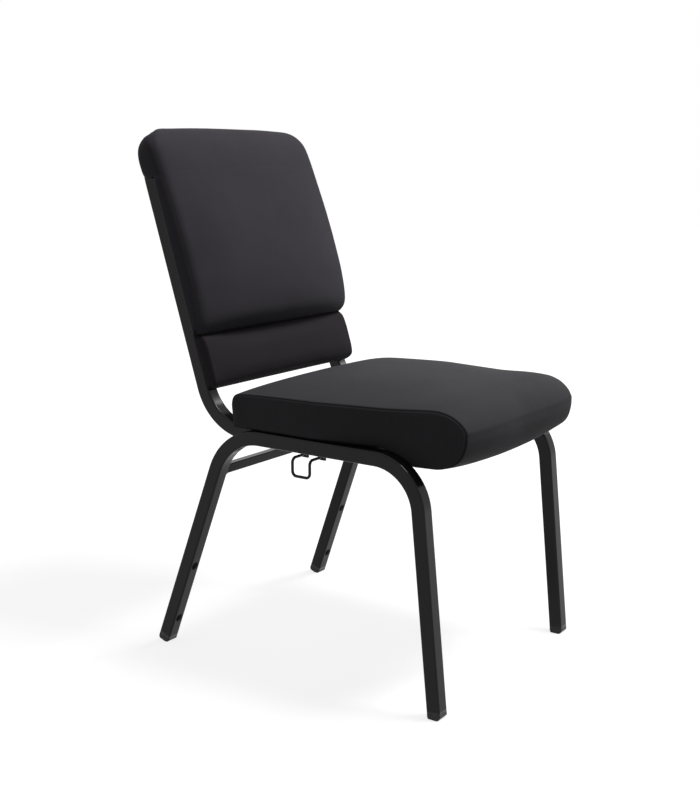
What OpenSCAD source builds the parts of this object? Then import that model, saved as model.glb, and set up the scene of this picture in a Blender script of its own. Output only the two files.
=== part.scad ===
// Stacking choir chair: bent square-tube frame, upholstered seat and back, sliding ganging hook.
// Millimetres, +Z up, front towards -Y, the sitter's right towards -X, standing on Z = 0.

/* [Leg frames] */
// Side of the square steel tube
tube = 25; // [22:0.5:28]
// Wall thickness of the square tube
tube_wall = 1.5; // [1:0.1:2.2]
// Outside radius of the tube's long corners
tube_corner = 3; // [2.5:0.1:4.5]
// How far the rails' outer faces lie inside the seat's sides
frame_inset = 1; // [0.5:0.5:8]
// Depth of a leg frame along the top of its rail, corner to corner
frame_depth = 409; // [400:1:450]
// Height of the top of the side rails
rail_height = 428; // [410:1:460]
// Forward lean of the front legs, in degrees
front_lean = 5.8; // [4:0.1:8]
// Backward lean of the rear legs, in degrees
rear_lean = 20.4; // [17:0.1:23]
// Outward splay of the rear legs, in degrees
leg_splay = 1.7; // [0.5:0.1:3]
// Centreline radius of the front bends
front_bend = 85; // [75:1:95]
// Centreline radius of the rear bends
rear_bend = 105; // [85:1:115]
// Side of the square cross brace between the rear legs
brace = 16; // [12:0.5:20]
// Height of the top of the cross brace
brace_height = 352; // [280:1:360]

/* [Feet and bumpers] */
// Length of a glide that shows below the tube
glide_height = 9; // [8:0.5:14]
// Length of a glide's plug inside the tube
glide_plug = 16; // [10:1:25]
// Radius of a glide's lower edges
glide_edge = 7; // [4:0.5:7.4]
// Depth of the flat worn on a glide's lowest edge
glide_flat = 1; // [0.8:0.1:1.4]
// Diameter of a stacking bumper's head
bumper = 16; // [12:0.5:18]
// Height of a stacking bumper's head
bumper_rise = 3; // [2:0.25:4]
// Diameter of a stacking bumper's stem
bumper_stem = 8; // [6:0.5:9]
// Height of the lower bumper above the floor
bumper_low = 52; // [45:1:90]
// Height of the upper bumper above the floor
bumper_high = 160; // [120:1:220]

/* [Back frame and supports] */
// Distance from the frames' rear corner back to the back line at rail height
back_clear = 60; // [52:1:90]
// Recline of the back, in degrees from upright
recline = 17.4; // [14:0.1:20]
// Centreline radius of the lower bends of the back frame
back_bend = 100; // [85:1:105]
// Centreline radius of the top corners of the back frame
back_corner = 60; // [45:1:80]
// Length of the uprights, from the lower bend's corner to the crossbar
back_rise = 513; // [490:1:540]
// Distance from the frames' front corner to the front ends of the back frame
run_start = 121; // [110:1:140]
// Side of the square seat supports
support = 20; // [16:0.5:22]
// Distance of the rear seat support ahead of the seat's rear edge
rear_support_inset = 88; // [74:1:110]

/* [Seat] */
// Width of the seat at its rear
seat_width = 472; // [460:1:510]
// How far the seat ends ahead of the frames' rear corner
seat_short = 25; // [12:1:40]
// How far the seat's sides reach ahead of the frames' front corner
seat_overhang = 57; // [50:1:62]
// Thickness of the seat along its side seam
seat_thickness = 70; // [60:1:85]
// How far the front roll hangs below the rails
nose_drop = 22; // [12:1:28]
// How far the front roll bulges forward at its middle
nose_bulge = 10; // [4:1:18]
// How much lower the front roll hangs at its middle
nose_sag = 8; // [2:1:14]
// Rise of the seat's crown above its side seams
seat_crown = 12; // [4:1:20]
// How far each side draws in at the front
seat_taper = 44; // [36:1:55]
// How far each side draws in at its lower edge
seat_tuck = 8; // [2:1:12]
// Thickness of the seat's plywood board
seat_ply = 12; // [10:0.5:16]
// Distance of the board's edges inside the seat
board_margin = 12; // [8:1:18]
// Width of the cover's hem under the seat
seat_hem = 38; // [28:1:50]

/* [Back] */
// How far the back cushion stands out beyond the tube on each side
back_overhang = 11.5; // [8:0.5:16]
// Greatest thickness of the back cushion, at the lumbar
lumbar = 61; // [50:1:75]
// Length of the back cushion along the recline
back_length = 382; // [370:1:395]
// Length of the hood that wraps the top of the back frame
hood = 78; // [70:1:95]
// Padding between the crossbar's top and the hood's top
hood_pad = 20; // [16:1:26]
// Thickness of the hood behind the tube
hood_skin = 3.5; // [3:0.5:6]
// Radius of the back's top corners
back_round = 40; // [25:1:50]
// Length of the lower back panel along the recline
lower_length = 94; // [85:1:100]
// Thickness of the lower back panel
lower_thickness = 22; // [18:1:30]
// Radius of the lower back panel's bottom corners
lower_round = 15; // [8:1:20]
// Thickness of the back's plywood board
back_ply = 10; // [8:0.5:12]
// Distance of the back board's ends inside the padding
back_margin = 14; // [12:1:24]
// Width of the cover's hem behind the back
back_hem = 35; // [28:1:45]
// Thickness of the outer back panel
outer_panel = 7; // [4:0.5:9]
// Thickness of the covering fabric
fabric = 1; // [0.8:0.1:1.3]

/* [Ganging hook] */
// Diameter of the hook's and the loop's wire
wire = 5; // [4:0.25:5.5]
// Centreline radius of the wire's bends
wire_bend = 8; // [6:0.5:10]
// Distance between the centrelines of the hook's two arms
hook_span = 36; // [30:1:44]
// Depth of the hook below its arms
hook_drop = 30; // [24:1:40]
// Distance of the stored hook's centreline out from the rail
hook_reach = 9; // [8.5:0.25:9]
// Outward travel of the hook from where it is stored
hook_travel = 22; // [12:1:28]
// Height of the arms' centreline below the rails
arm_drop = 6.5; // [6:0.25:9]
// Distance of the hook's middle ahead of the rear seat support
hook_ahead = 70; // [56:1:90]
// Length of the hook's guide across the chair
guide_length = 59; // [50:1:70]
// Width of steel round each hole of the guide
guide_lip = 3.5; // [3:0.25:6]
// Thickness of the guide's steel
guide_sheet = 3; // [2:0.25:3.25]
// Radial clearance of the arms in their guide
slide_clearance = 0.08; // [0.05:0.01:0.1]
// Clear width inside the ganging loop
loop_span = 46; // [44:1:56]
// Distance of the loop's centreline out from the rail
loop_reach = 8.5; // [8:0.25:9]
// Length of the loop's arms under the rail
loop_arm = 42; // [36:1:48]

/* [Fasteners] */
// Diameter of the bolts
bolt = 6; // [5:0.5:7]
// Diameter of the bolts' heads
bolt_head = 12; // [10.5:0.5:14]
// Height of the bolts' heads
bolt_head_rise = 3.3; // [2.5:0.1:4]
// Size of the bolts' hexagon sockets
bolt_socket = 4; // [3:0.5:5]
// Diameter of the tee nuts' flanges
nut_flange = 17; // [14:0.5:18]
// Thickness of the tee nuts' flanges
nut_sheet = 1.5; // [1:0.1:2]
// Diameter of the tee nuts' barrels
nut_barrel = 8; // [7.8:0.1:9]
// Length of the tee nuts with their flanges
nut_length = 9; // [7:0.5:9.5]
// Distance of the seat bolts from the middle of the chair
seat_bolt_at = 120; // [90:1:150]
// Height of the lower back bolts along the recline
low_bolt_at = 112; // [100:1:130]
// Height of the upper back bolts along the recline
high_bolt_at = 400; // [340:1:440]

/* [Hidden] */

// Small clearance between soft pieces and what they rest on
fit_gap = 0.3;
// How far the foam's outer face lies inside the cover's outer face
foam_inset = fabric + 1.5 * fit_gap;
// Looseness of a bolt in the holes of tube and board
bolt_slack = 0.3;
// Clearance between a bolt and its nut's bore
thread_slack = 0.05;
// Looseness of a plastic plug in the tube
plug_slack = 0.2;
// How far the bolts end below the face of the board
bolt_short = 1;
// How far a cut runs past the face that it cuts
overrun = 2;

seat_depth = frame_depth + seat_overhang - seat_short;
seat_rear = frame_depth - seat_short;
frame_width = seat_width - 2 * frame_inset;
back_line = frame_depth + back_clear;
rear_support_at = seat_rear - rear_support_inset;
hook_at = rear_support_at - hook_ahead;

half_tube = tube / 2;
rail_axis = rail_height - half_tube;
rail_bottom = rail_height - tube;
side_axis = frame_width / 2 - half_tube;
// The back frame lies against the inner faces of the leg frames
back_axis = side_axis - tube;
back_inside = back_axis - half_tube;

// Corner points, in (y, z), where the centrelines of rail and leg would meet
front_corner_y = half_tube * (1 - sin(front_lean)) / cos(front_lean);
rear_corner_y = frame_depth - half_tube * (1 - sin(rear_lean)) / cos(rear_lean);
back_corner_y = back_line - half_tube * (tan(recline) + 1 / cos(recline));

// Distance from a corner point to where its bend begins
front_tangent = front_bend * tan((90 - front_lean) / 2);
rear_tangent = rear_bend * tan((90 - rear_lean) / 2);
back_tangent = back_bend * tan((90 - recline) / 2);

// Length of a leg from its corner point to the bottom of its glide
function leg_length(lean) = glide_edge
    + (rail_axis - (half_tube - glide_edge) * sin(lean) - glide_edge + glide_flat) / cos(lean);

// Points of a circle's arc, round its centre, from one bearing over an angle
function arc(centre, radius, from, angle, steps) = [for (step = [0:steps])
    centre + radius * [cos(from + angle * step / steps), sin(from + angle * step / steps)]];

// Points of a square with rounded corners, round its centre
corner_steps = 3;
function rounded_square(side, radius) =
    let (out = side / 2 - radius)
    concat(
        arc([out, out], radius, 0, 90, corner_steps),
        arc([-out, out], radius, 90, 90, corner_steps),
        arc([-out, -out], radius, 180, 90, corner_steps),
        arc([out, -out], radius, 270, 90, corner_steps));

// The faces between one ring of points and the next, for a count of rings of a size
function ring_walls(count, size) = [for (i = [0:count - 2], j = [0:size - 1])
    let (a = i * size + j)
    let (b = i * size + (j + 1) % size)
    each [[a, b, b + size], [a, b + size, a + size]]];

// Soft forms are rings of points at stations along the form. A ring has a low face, two
// sides and a high face, with as many points below as above.
across_shares = [0, 0.3, 0.58, 0.82, 1];
// Radius of the sewn edges
edge_radius = 5;
edge_share = 0.45;
corner_share = 0.293;

// Ring with a half width, a low level, a high level at its sides and at its middle, a
// sag of the low face at its middle, and a draw-in of its low edges
function ring(half, low, side, middle, sag, tuck, power) =
    let (r = min(edge_radius, (side - low) * edge_share))
    let (across = [for (share = across_shares) share])
    let (count = len(across))
    let (right = concat(
        [for (s = across) [s * (half - tuck - r), low - sag * (1 - s * s)]],
        [[half - tuck - corner_share * r, low + corner_share * r], [half - tuck, low + r]],
        [[half, side - r], [half - corner_share * r, side - corner_share * r]],
        [for (i = [count - 1:-1:0])
            let (x = across[i] * (half - r))
            [x, side + (middle - side) * (1 - pow(x / half, power))]]))
    concat(right, [for (i = [len(right) - 2:-1:1]) [-right[i].x, right[i].y]]);

// How far a rounded corner draws in a form's side at a distance from its end
function corner_draw(distance, radius) =
    let (left = max(0, radius - distance))
    radius - sqrt(max(0, radius * radius - left * left));

// Seat: stations from the front, as shares of its depth. Then the low and the high level
// along its side seams as shares of drop and thickness, and the share of its crown.
seat_shares = [
    [0, 0.33, 0.55, 0], [0.006, 0.15, 0.62, 0.05], [0.0143, 0.007, 0.7, 0.1],
    [0.035, -0.45, 0.82, 0.35], [0.071, -0.795, 0.94, 0.6], [0.12, -1, 1, 0.85],
    [0.19, -1, 0.98, 1], [0.225, -0.8, 0.963, 1], [0.255, -0.45, 0.955, 1],
    [0.272, 0, 0.95, 1], [0.36, 0, 0.942, 1], [0.48, 0, 0.943, 1], [0.61, 0, 0.938, 1],
    [0.84, 0, 0.914, 0.95], [0.94, 0, 0.892, 0.75], [0.978, 0, 0.85, 0.4],
    [0.993, 0.03, 0.74, 0.2], [1, 0.1, 0.55, 0.1]];
// Share of the depth over which the sides taper, and over which the front roll bulges
taper_share = 0.6;
roll_share = 0.22;
crown_power = 3;

seat_base = rail_height + fit_gap;
seat_half = seat_width / 2;

// How far the seat's sides are drawn in at a distance behind the frames' front corner
function taper_at(y) =
    seat_taper * max(0, 1 - (y + seat_overhang) / seat_depth / taper_share);

function seat_rings(inset) = [for (s = seat_shares)
    let (y = inset - seat_overhang + s[0] * (seat_depth - 2 * inset))
    let (low = seat_base + inset + s[1] * (s[1] < 0 ? nose_drop : seat_thickness))
    let (side = seat_base - inset + s[2] * seat_thickness)
    let (half = seat_half - taper_at(y) - inset)
    let (forward = nose_bulge * max(0, 1 - s[0] / roll_share))
    let (tuck = seat_tuck * min(1, max(0, s[0] / taper_share)))
    let (sag = nose_sag * max(0, -s[1]))
    [for (p = ring(half, low, side, side + s[3] * seat_crown, sag, tuck, crown_power))
        [p.x, y - forward * (1 - pow(p.x / half, 4)), p.y]]];

// Back: a place is given by its depth in front of the tube and its height along the
// recline, above the corner point of the lower bend.
back_top = back_rise + half_tube + hood_pad;
back_bottom = back_top - back_length;
back_half = back_axis + half_tube + back_overhang;
lower_half = back_axis + half_tube;
lower_top = back_bottom - 2 * fabric;
lower_bottom = lower_top - lower_length;
hood_depth = tube + hood_skin;

// Stations of the back cushion from its bottom, as shares of its length below the hood.
// Then its thickness at its sides and at its middle, as shares of the lumbar's.
back_shares = [
    [0, 0.12, 0.2], [0.011, 0.2, 0.32], [0.038, 0.3, 0.48], [0.094, 0.38, 0.68],
    [0.21, 0.44, 0.87], [0.34, 0.46, 0.97], [0.5, 0.46, 0.97], [0.7, 0.42, 0.89],
    [0.87, 0.38, 0.78], [0.998, 0.36, 0.71]];
// Stations of the hood from its lower edge, as shares of its length, then its thickness
// at its sides and at its middle as before, and the share of its depth behind
hood_shares = [
    [0, 0.36, 0.71, 0.95], [0.16, 0.35, 0.69, 1], [0.58, 0.27, 0.55, 1],
    [0.78, 0.2, 0.42, 0.97], [0.9, 0.1, 0.3, 0.88], [0.965, 0, 0.16, 0.72],
    [1, -0.12, 0.02, 0.5]];
bulge_power = 8;
// How much lower the hood's top lies at its sides, before the corners round it off
hood_arch = 4;
// How far the cushion's bottom corners draw in
bottom_draw = 3;

hood_bottom = back_top - hood;
upper_length = back_length - hood;

function back_ring(height, side, middle, rear, inset) =
    let (z = height + inset * (1 - 2 * max(0, height - hood_bottom) / hood))
    let (half = back_half - inset - corner_draw(back_top - height, back_round)
        - (height == back_bottom ? bottom_draw : 0))
    let (rise = hood_arch * max(0, (height - hood_bottom) / hood))
    [for (p = ring(half, rear + inset, side - inset, middle - inset, 0, 0, bulge_power))
        [p.x, -half_tube - p.y, z - rise * pow(p.x / half, 2)]];

function back_rings(inset) = concat(
    [for (s = back_shares)
        back_ring(back_bottom + s[0] * upper_length, s[1] * lumbar, s[2] * lumbar,
            fit_gap, inset)],
    [for (s = hood_shares)
        back_ring(hood_bottom + s[0] * hood, s[1] * lumbar, s[2] * lumbar,
            -s[3] * hood_depth, inset)]);

// Stations of the lower panel from its bottom, then its thickness at its sides and middle
lower_shares = [
    [0, 0.25, 0.35], [0.03, 0.55, 0.6], [0.1, 0.85, 0.9], [0.3, 1, 1.05], [0.6, 1, 1.08],
    [0.85, 0.92, 1], [0.95, 0.75, 0.85], [1, 0.5, 0.6]];

function lower_rings(inset) = [for (s = lower_shares)
    let (z = lower_bottom + inset + s[0] * (lower_length - 2 * inset))
    let (half = lower_half - inset - corner_draw(s[0] * lower_length, lower_round))
    let (side = s[1] * lower_thickness - inset)
    let (middle = s[2] * lower_thickness - inset)
    [for (p = ring(half, fit_gap + inset, side, middle, 0, 0, bulge_power))
        [p.x, -half_tube - p.y, z]]];

// The chair's own middle, behind the frames' front corner
back_rear_y = back_corner_y + max([for (r = back_rings(0)) for (p = r)
    p.y * cos(recline) + p.z * sin(recline)]);
middle_y = (back_rear_y - seat_overhang - nose_bulge) / 2;

// Puts a piece that is drawn from the frames' front corner into the chair's frame
module placed() {
    translate([0, -middle_y, 0]) children();
}

// Turns a drawing in (y, z), thick along x, upright
module side_view() {
    rotate([90, 0, 90]) children();
}

// Places a piece of the back: x across, y behind the tube's axis, z up the recline
module on_back() {
    placed() translate([0, back_corner_y, rail_axis]) rotate([-recline, 0, 0]) children();
}

module both_sides() {
    children();
    mirror([1, 0, 0]) children();
}

// The tube's section
module section(side) {
    polygon(rounded_square(side, tube_corner - (tube - side) / 2));
}

// A straight piece of tube along x
module straight(side, length) {
    rotate([0, 90, 0]) linear_extrude(length) section(side);
}

// A bend of tube in the drawing plane, about a centre, between two bearings
module bend(side, centre, radius, from, to) {
    translate([centre.x, centre.y, 0]) rotate([0, 0, from])
        rotate_extrude(angle = to - from, $fn = 96)
            translate([radius, 0]) section(side);
}

// Flats round each bend of a leg frame
bend_steps = 6;

// Turns a point of the rear run outwards about the rail
function splayed(point) = [
    point.x,
    point.y * cos(leg_splay) + point.z * sin(leg_splay),
    point.z * cos(leg_splay) - point.y * sin(leg_splay)
];

// The tube's section round a point of a leg frame's path, seen from the centre of a bend
// along a bearing, and turned about the tube
function leg_ring(side, at, bearing, turn) = [
    for (corner = rounded_square(side, tube_corner - (tube - side) / 2))
        let (out = corner.x * cos(turn) - corner.y * sin(turn))
        [at.x + out * cos(bearing), at.y + out * sin(bearing),
            corner.x * sin(turn) + corner.y * cos(turn)]
];

// The sections of one half of a leg frame, from the rail to the end of the leg
function leg_rings(side, corner_y, tangent, radius, from, to, end, turn) = let (
    centre = [corner_y, -radius],
    leg = [sin(to), -cos(to)] * (from < to ? -1 : 1)
) [
    for (i = [0 : bend_steps])
        let (bearing = from + (to - from) * i / bend_steps)
        leg_ring(side, centre + radius * [cos(bearing), sin(bearing)], bearing, turn),
    leg_ring(side, centre + radius * [cos(to), sin(to)] + leg * (end - tangent), to, turn)
];

// The sections of a whole leg frame. The rear bend and leg are splayed about the rail.
function leg_frame_rings(side) = let (
    front = leg_rings(side, front_corner_y + front_tangent, front_tangent, front_bend,
        90, 180 - front_lean, leg_length(front_lean) - glide_height, 0),
    rear = leg_rings(side, rear_corner_y - rear_tangent, rear_tangent, rear_bend,
        90, rear_lean, leg_length(rear_lean) - glide_height, leg_splay)
) concat([for (i = [len(rear) - 1 : -1 : 0]) [for (point = rear[i]) splayed(point)]], front);

// A tube through two lists of rings, of its outside and of its bore
module tube_form(outside, bore) {
    size = len(outside[0]);
    last = (len(outside) - 1) * size;
    all = last + size;
    walls = ring_walls(len(outside), size);
    lining = [for (face = walls) [all + face[2], all + face[1], all + face[0]]];
    ends = [for (j = [0 : size - 1])
        let (k = (j + 1) % size)
        each [[k, j, all + j], [k, all + j, all + k],
            [last + j, last + k, all + last + k],
            [last + j, all + last + k, all + last + j]]];
    polyhedron([for (rings = [outside, bore]) for (points = rings) each points],
        concat(walls, lining, ends));
}

// Places a piece on the front face of a rear leg, at a height, standing out along its z
module on_rear_leg(height) {
    drop = (rail_axis - height) / cos(leg_splay);
    translate([0, rail_axis, 0]) rotate([-leg_splay, 0, 0])
        translate([rear_corner_y + drop * tan(rear_lean), -drop, 0])
        rotate([0, leg_splay, 180 + rear_lean]) translate([half_tube, 0, 0])
        rotate([0, 90, 0]) children();
}

module leg_frame() {
    placed() translate([side_axis, 0, 0]) side_view() difference() {
        translate([0, rail_axis, 0])
            tube_form(leg_frame_rings(tube), leg_frame_rings(tube - 2 * tube_wall));
        for (height = [bumper_low, bumper_high])
            on_rear_leg(height) translate([0, 0, -tube_wall - overrun])
                cylinder(d = bumper_stem + 2 * plug_slack, h = tube_wall + 2 * overrun, $fn = 32);
    }
}

module left_leg_frame() {
    color("#1c1c1d") leg_frame();
}

module right_leg_frame() {
    color("#1c1c1d") mirror([1, 0, 0]) leg_frame();
}

// A glide round its leg's axis, which runs down from the corner point along -y
module glide_body(length) {
    inside = half_tube - glide_edge;
    low = glide_edge - length;
    plug = tube - 2 * tube_wall - 2 * plug_slack;
    intersection() {
        translate([0, 0, -half_tube]) linear_extrude(tube) polygon(concat(
            [[half_tube, glide_height - length], [-half_tube, glide_height - length]],
            arc([-inside, low], glide_edge, 180, 90, 8),
            arc([inside, low], glide_edge, 270, 90, 8)));
        rotate([90, 0, 0]) linear_extrude(length) section(tube);
    }
    rotate([90, 0, 0]) translate([0, 0, length - glide_height - glide_plug])
        linear_extrude(glide_plug) polygon(rounded_square(plug, tube_corner - tube_wall));
}

// A glide at the end of a leg, worn flat on the floor
module glide(corner_y, turn, splay) {
    reach = frame_width + frame_depth;
    intersection() {
        placed() translate([side_axis, 0, 0]) side_view()
            translate([0, rail_axis, 0]) rotate([-splay, 0, 0])
            translate([corner_y, 0, 0]) rotate([0, 0, turn])
            rotate([0, -splay, 0]) glide_body(leg_length(abs(turn)));
        translate([-reach, -reach, 0]) cube(2 * reach);
    }
}

module left_front_glide() {
    color("#141414") glide(front_corner_y, -front_lean, 0);
}

module right_front_glide() {
    color("#141414") mirror([1, 0, 0]) glide(front_corner_y, -front_lean, 0);
}

module left_rear_glide() {
    color("#141414") glide(rear_corner_y, rear_lean, leg_splay);
}

module right_rear_glide() {
    color("#141414") mirror([1, 0, 0]) glide(rear_corner_y, rear_lean, leg_splay);
}

// A bumper: the domed head is a slice of a ball
module bumper_body() {
    ball = (bumper * bumper / 4 + bumper_rise * bumper_rise) / (2 * bumper_rise);
    intersection() {
        translate([0, 0, bumper_rise - ball]) sphere(ball, $fn = 48);
        cylinder(d = bumper, h = bumper_rise + overrun, $fn = 48);
    }
    translate([0, 0, -tube_wall - overrun])
        cylinder(d = bumper_stem, h = tube_wall + overrun + bumper_rise / 2, $fn = 32);
}

module stack_bumpers() {
    color("#101010") both_sides()
        placed() translate([side_axis, 0, 0]) side_view()
            for (height = [bumper_low, bumper_high]) on_rear_leg(height) bumper_body();
}

// A square tube along x, centred
module cross_tube(side, length) {
    rotate([0, 90, 0]) difference() {
        linear_extrude(length, center = true) polygon(rounded_square(side, tube_corner / 2));
        linear_extrude(length + 2 * overrun, center = true)
            square(side - 2 * tube_wall, center = true);
    }
}

module rear_leg_brace() {
    axis_z = brace_height - brace / 2;
    axis_y = frame_depth + (rail_height - axis_z) * tan(rear_lean) - half_tube / cos(rear_lean);
    reach = side_axis + (rail_axis - brace_height - brace / 2) * tan(leg_splay)
        - half_tube / cos(leg_splay);
    color("#1c1c1d") placed() translate([0, axis_y, axis_z]) cross_tube(brace, 2 * reach);
}

// The back frame's path: runs under the seat, lower bends, uprights, corners, crossbar
module back_path(side, extra) {
    run_end = back_corner_y - back_tangent;
    run = run_end - run_start;
    corner_x = back_axis - back_corner;
    corner_z = back_rise - back_corner;
    placed() both_sides() translate([back_axis, 0, 0]) side_view() {
        translate([run_end, rail_axis, 0]) {
            rotate([0, 0, 180]) straight(side, run + extra);
            bend(side, [0, back_bend], back_bend, -90, -recline);
        }
    }
    on_back() {
        both_sides() {
            translate([back_axis, 0, back_tangent])
                linear_extrude(corner_z - back_tangent) section(side);
            rotate([90, 0, 0]) bend(side, [corner_x, corner_z], back_corner, 0, 90);
        }
        translate([-corner_x, 0, back_rise]) straight(side, 2 * corner_x);
    }
}

// Where the back's bolts go: from the rear face of an upright, forwards along z
module at_back_bolts() {
    on_back() both_sides() for (height = [low_bolt_at, high_bolt_at])
        translate([back_axis, half_tube, height]) rotate([90, 0, 0]) children();
}

module back_bolt_holes() {
    at_back_bolts() translate([0, 0, -overrun])
        cylinder(d = bolt + 2 * bolt_slack, h = tube + back_board_depth + overrun, $fn = 24);
}

module back_frame() {
    color("#1c1c1d") difference() {
        back_path(tube, 0);
        back_path(tube - 2 * tube_wall, overrun);
        back_bolt_holes();
    }
}

// Where the seat's bolts go: from the underside of a support, upwards along z
front_support_y = run_start - support / 2;
rear_support_y = rear_support_at + support / 2;

module at_seat_bolts() {
    placed() for (x = [-seat_bolt_at, seat_bolt_at], y = [front_support_y, rear_support_y])
        translate([x, y, rail_height - support]) children();
}

module seat_bolt_holes() {
    at_seat_bolts() translate([0, 0, -overrun])
        cylinder(d = bolt + 2 * bolt_slack, h = 3 * support, $fn = 24);
}

module seat_support(y, length) {
    difference() {
        placed() translate([0, y, rail_height - support / 2]) cross_tube(support, length);
        seat_bolt_holes();
    }
}

// The front support closes the open ends of the back frame's runs
module front_seat_support() {
    color("#1c1c1d") seat_support(front_support_y, frame_width - 2 * tube);
}

module rear_seat_support() {
    color("#1c1c1d") seat_support(rear_support_y, 2 * back_inside);
}

// A closed form through rings, with its two ends zipped from low face to high face
module soft_form(rings) {
    size = len(rings[0]);
    half = size / 2;
    last = (len(rings) - 1) * size;
    walls = ring_walls(len(rings), size);
    zips = [for (j = [0:half / 2 - 1])
        let (k = (size - j) % size)
        each [[j, half - j, half - 1 - j], [j, half - 1 - j, j + 1],
            [k, size - 1 - j, half + 1 + j], [k, half + 1 + j, half + j]]];
    ends = [for (f = zips) each [f, [last + f[2], last + f[1], last + f[0]]]];
    polyhedron([for (r = rings) each r], concat(walls, ends));
}

// The seat's plywood board follows the taper of the sides
board_base = seat_base + fabric + fit_gap;
board_top = board_base + seat_ply;

module board_outline(gap) {
    front = 2 * board_margin - seat_overhang / 2;
    rear = seat_rear - board_margin;
    taper_end = taper_share * seat_depth - seat_overhang;
    wide = seat_half - seat_tuck - board_margin + gap;
    chamfer = board_margin;
    right = [[wide - taper_at(front) - chamfer, front - gap],
        [wide - taper_at(front + chamfer), front + chamfer],
        [wide, taper_end], [wide, rear - chamfer], [wide - chamfer, rear + gap]];
    polygon(concat(right, [for (i = [len(right) - 1:-1:0]) [-right[i].x, right[i].y]]));
}

// Holes for a tee nut whose flange lies at the origin, with its barrel up along z
module nut_hole(length) {
    translate([0, 0, -overrun])
        cylinder(d = nut_flange + 2 * bolt_slack, h = nut_sheet + overrun, $fn = 32);
    cylinder(d = nut_barrel + 2 * bolt_slack, h = length + overrun, $fn = 24);
}

module tee_nut() {
    difference() {
        union() {
            cylinder(d = nut_flange, h = nut_sheet, $fn = 32);
            cylinder(d = nut_barrel, h = nut_length, $fn = 24);
        }
        translate([0, 0, -overrun])
            cylinder(d = bolt + 2 * thread_slack, h = nut_length + 2 * overrun, $fn = 24);
    }
}

// A socket-head bolt whose head's underside lies at the origin, with its shank up along z
module bolt_body(length) {
    translate([0, 0, -bolt_head_rise]) difference() {
        cylinder(d = bolt_head, h = bolt_head_rise, $fn = 32);
        translate([0, 0, -overrun])
            cylinder(d = bolt_socket, h = overrun + bolt_head_rise / 2, $fn = 6);
    }
    cylinder(d = bolt, h = length, $fn = 24);
}

seat_bolt_length = board_top - bolt_short - rail_height + support;
module at_seat_nuts() {
    at_seat_bolts() translate([0, 0, seat_bolt_length + bolt_short])
        mirror([0, 0, 1]) children();
}

module seat_board() {
    color("#b98f5c") difference() {
        placed() translate([0, 0, board_base]) linear_extrude(seat_ply) board_outline(0);
        at_seat_nuts() nut_hole(seat_ply);
    }
}

module seat_foam() {
    color("#d8cfae") placed() difference() {
        soft_form(seat_rings(foam_inset));
        translate([0, 0, board_base - fit_gap]) linear_extrude(seat_ply + 2 * fit_gap)
            board_outline(fit_gap);
    }
}

// The opening of the cover under the seat, inside its hem
opening_half = seat_half - seat_taper / 2 - seat_hem;
opening_front = front_support_y - support;
opening_rear = seat_rear - seat_hem;

module seat_opening(gap, base, height) {
    translate([gap - opening_half, opening_front + gap, base])
        cube([2 * (opening_half - gap), opening_rear - opening_front - 2 * gap, height]);
}

module seat_cover() {
    color("#3c3c3e") placed() difference() {
        soft_form(seat_rings(0));
        soft_form(seat_rings(fabric));
        seat_opening(0, seat_base - overrun, fabric + 2 * overrun);
    }
}

module seat_dust_cover() {
    color("#18181a") difference() {
        placed() seat_opening(fit_gap, seat_base, fabric);
        seat_bolt_holes();
    }
}

module seat_bolts() {
    color("#2a2a2c") at_seat_bolts() bolt_body(seat_bolt_length);
}

module seat_tee_nuts() {
    color("#c9c9c4") at_seat_nuts() tee_nut();
}

// The back's plywood board runs behind both cushions, in front of the uprights
back_board_depth = 2 * fit_gap + fabric;
back_bolt_length = tube + back_board_depth + back_ply - bolt_short;

module back_board_block(gap) {
    bottom = lower_bottom + back_margin;
    top = back_top - hood_pad;
    wide = lower_half - 3 * fabric + gap;
    translate([-wide, -half_tube - back_board_depth - back_ply - gap, bottom - gap])
        cube([2 * wide, back_ply + 2 * gap, top - bottom + 2 * gap]);
}

module at_back_nuts() {
    at_back_bolts() translate([0, 0, back_bolt_length + bolt_short])
        mirror([0, 0, 1]) children();
}

module back_board() {
    color("#b98f5c") difference() {
        on_back() back_board_block(0);
        at_back_nuts() nut_hole(back_ply);
    }
}

// The space of the tube inside the hood, round its crossbar and corners
module hood_tube_space() {
    out = half_tube + fit_gap;
    top = back_rise + out;
    low = hood_bottom - hood;
    outer = (back_corner + out) / cos(90 / 8 / 2);
    inner = back_corner - out;
    corner_x = back_axis - back_corner;
    corner_z = back_rise - back_corner;
    right = concat([[back_axis + out, low]], arc([corner_x, corner_z], outer, 0, 90, 8));
    inside = concat(arc([corner_x, corner_z], inner, 90, -90, 4), [[back_axis - out, low]]);
    translate([0, out, 0]) rotate([90, 0, 0]) linear_extrude(2 * out) polygon(concat(
        right,
        [for (i = [len(right) - 1:-1:0]) [-right[i].x, right[i].y]],
        [for (i = [len(inside) - 1:-1:0]) [-inside[i].x, inside[i].y]],
        inside));
}

// The space between the uprights, under an arch that stands off the tube's centreline
module arch(low, standoff) {
    corner_x = back_axis - back_corner;
    corner_z = back_rise - back_corner;
    right = concat([[back_axis - standoff, low]],
        arc([corner_x, corner_z], back_corner - standoff, 0, 90, 8));
    polygon(concat(right, [for (i = [len(right) - 1:-1:0]) [-right[i].x, right[i].y]]));
}

// The pocket in the hood between the uprights, where the outer back panel ends
module hood_pocket() {
    translate([0, half_tube + fit_gap, 0]) rotate([90, 0, 0])
        linear_extrude(tube + 2 * fit_gap + fabric) arch(hood_bottom - hood, 0);
}

module back_opening(base, top) {
    wide = back_inside - back_hem / 2;
    translate([-wide, -half_tube - back_board_depth, base])
        cube([2 * wide, back_board_depth + overrun, top - base]);
}

module back_foam() {
    color("#d8cfae") on_back() difference() {
        soft_form(back_rings(foam_inset));
        back_board_block(fit_gap);
        hood_tube_space();
        hood_pocket();
    }
}

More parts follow.
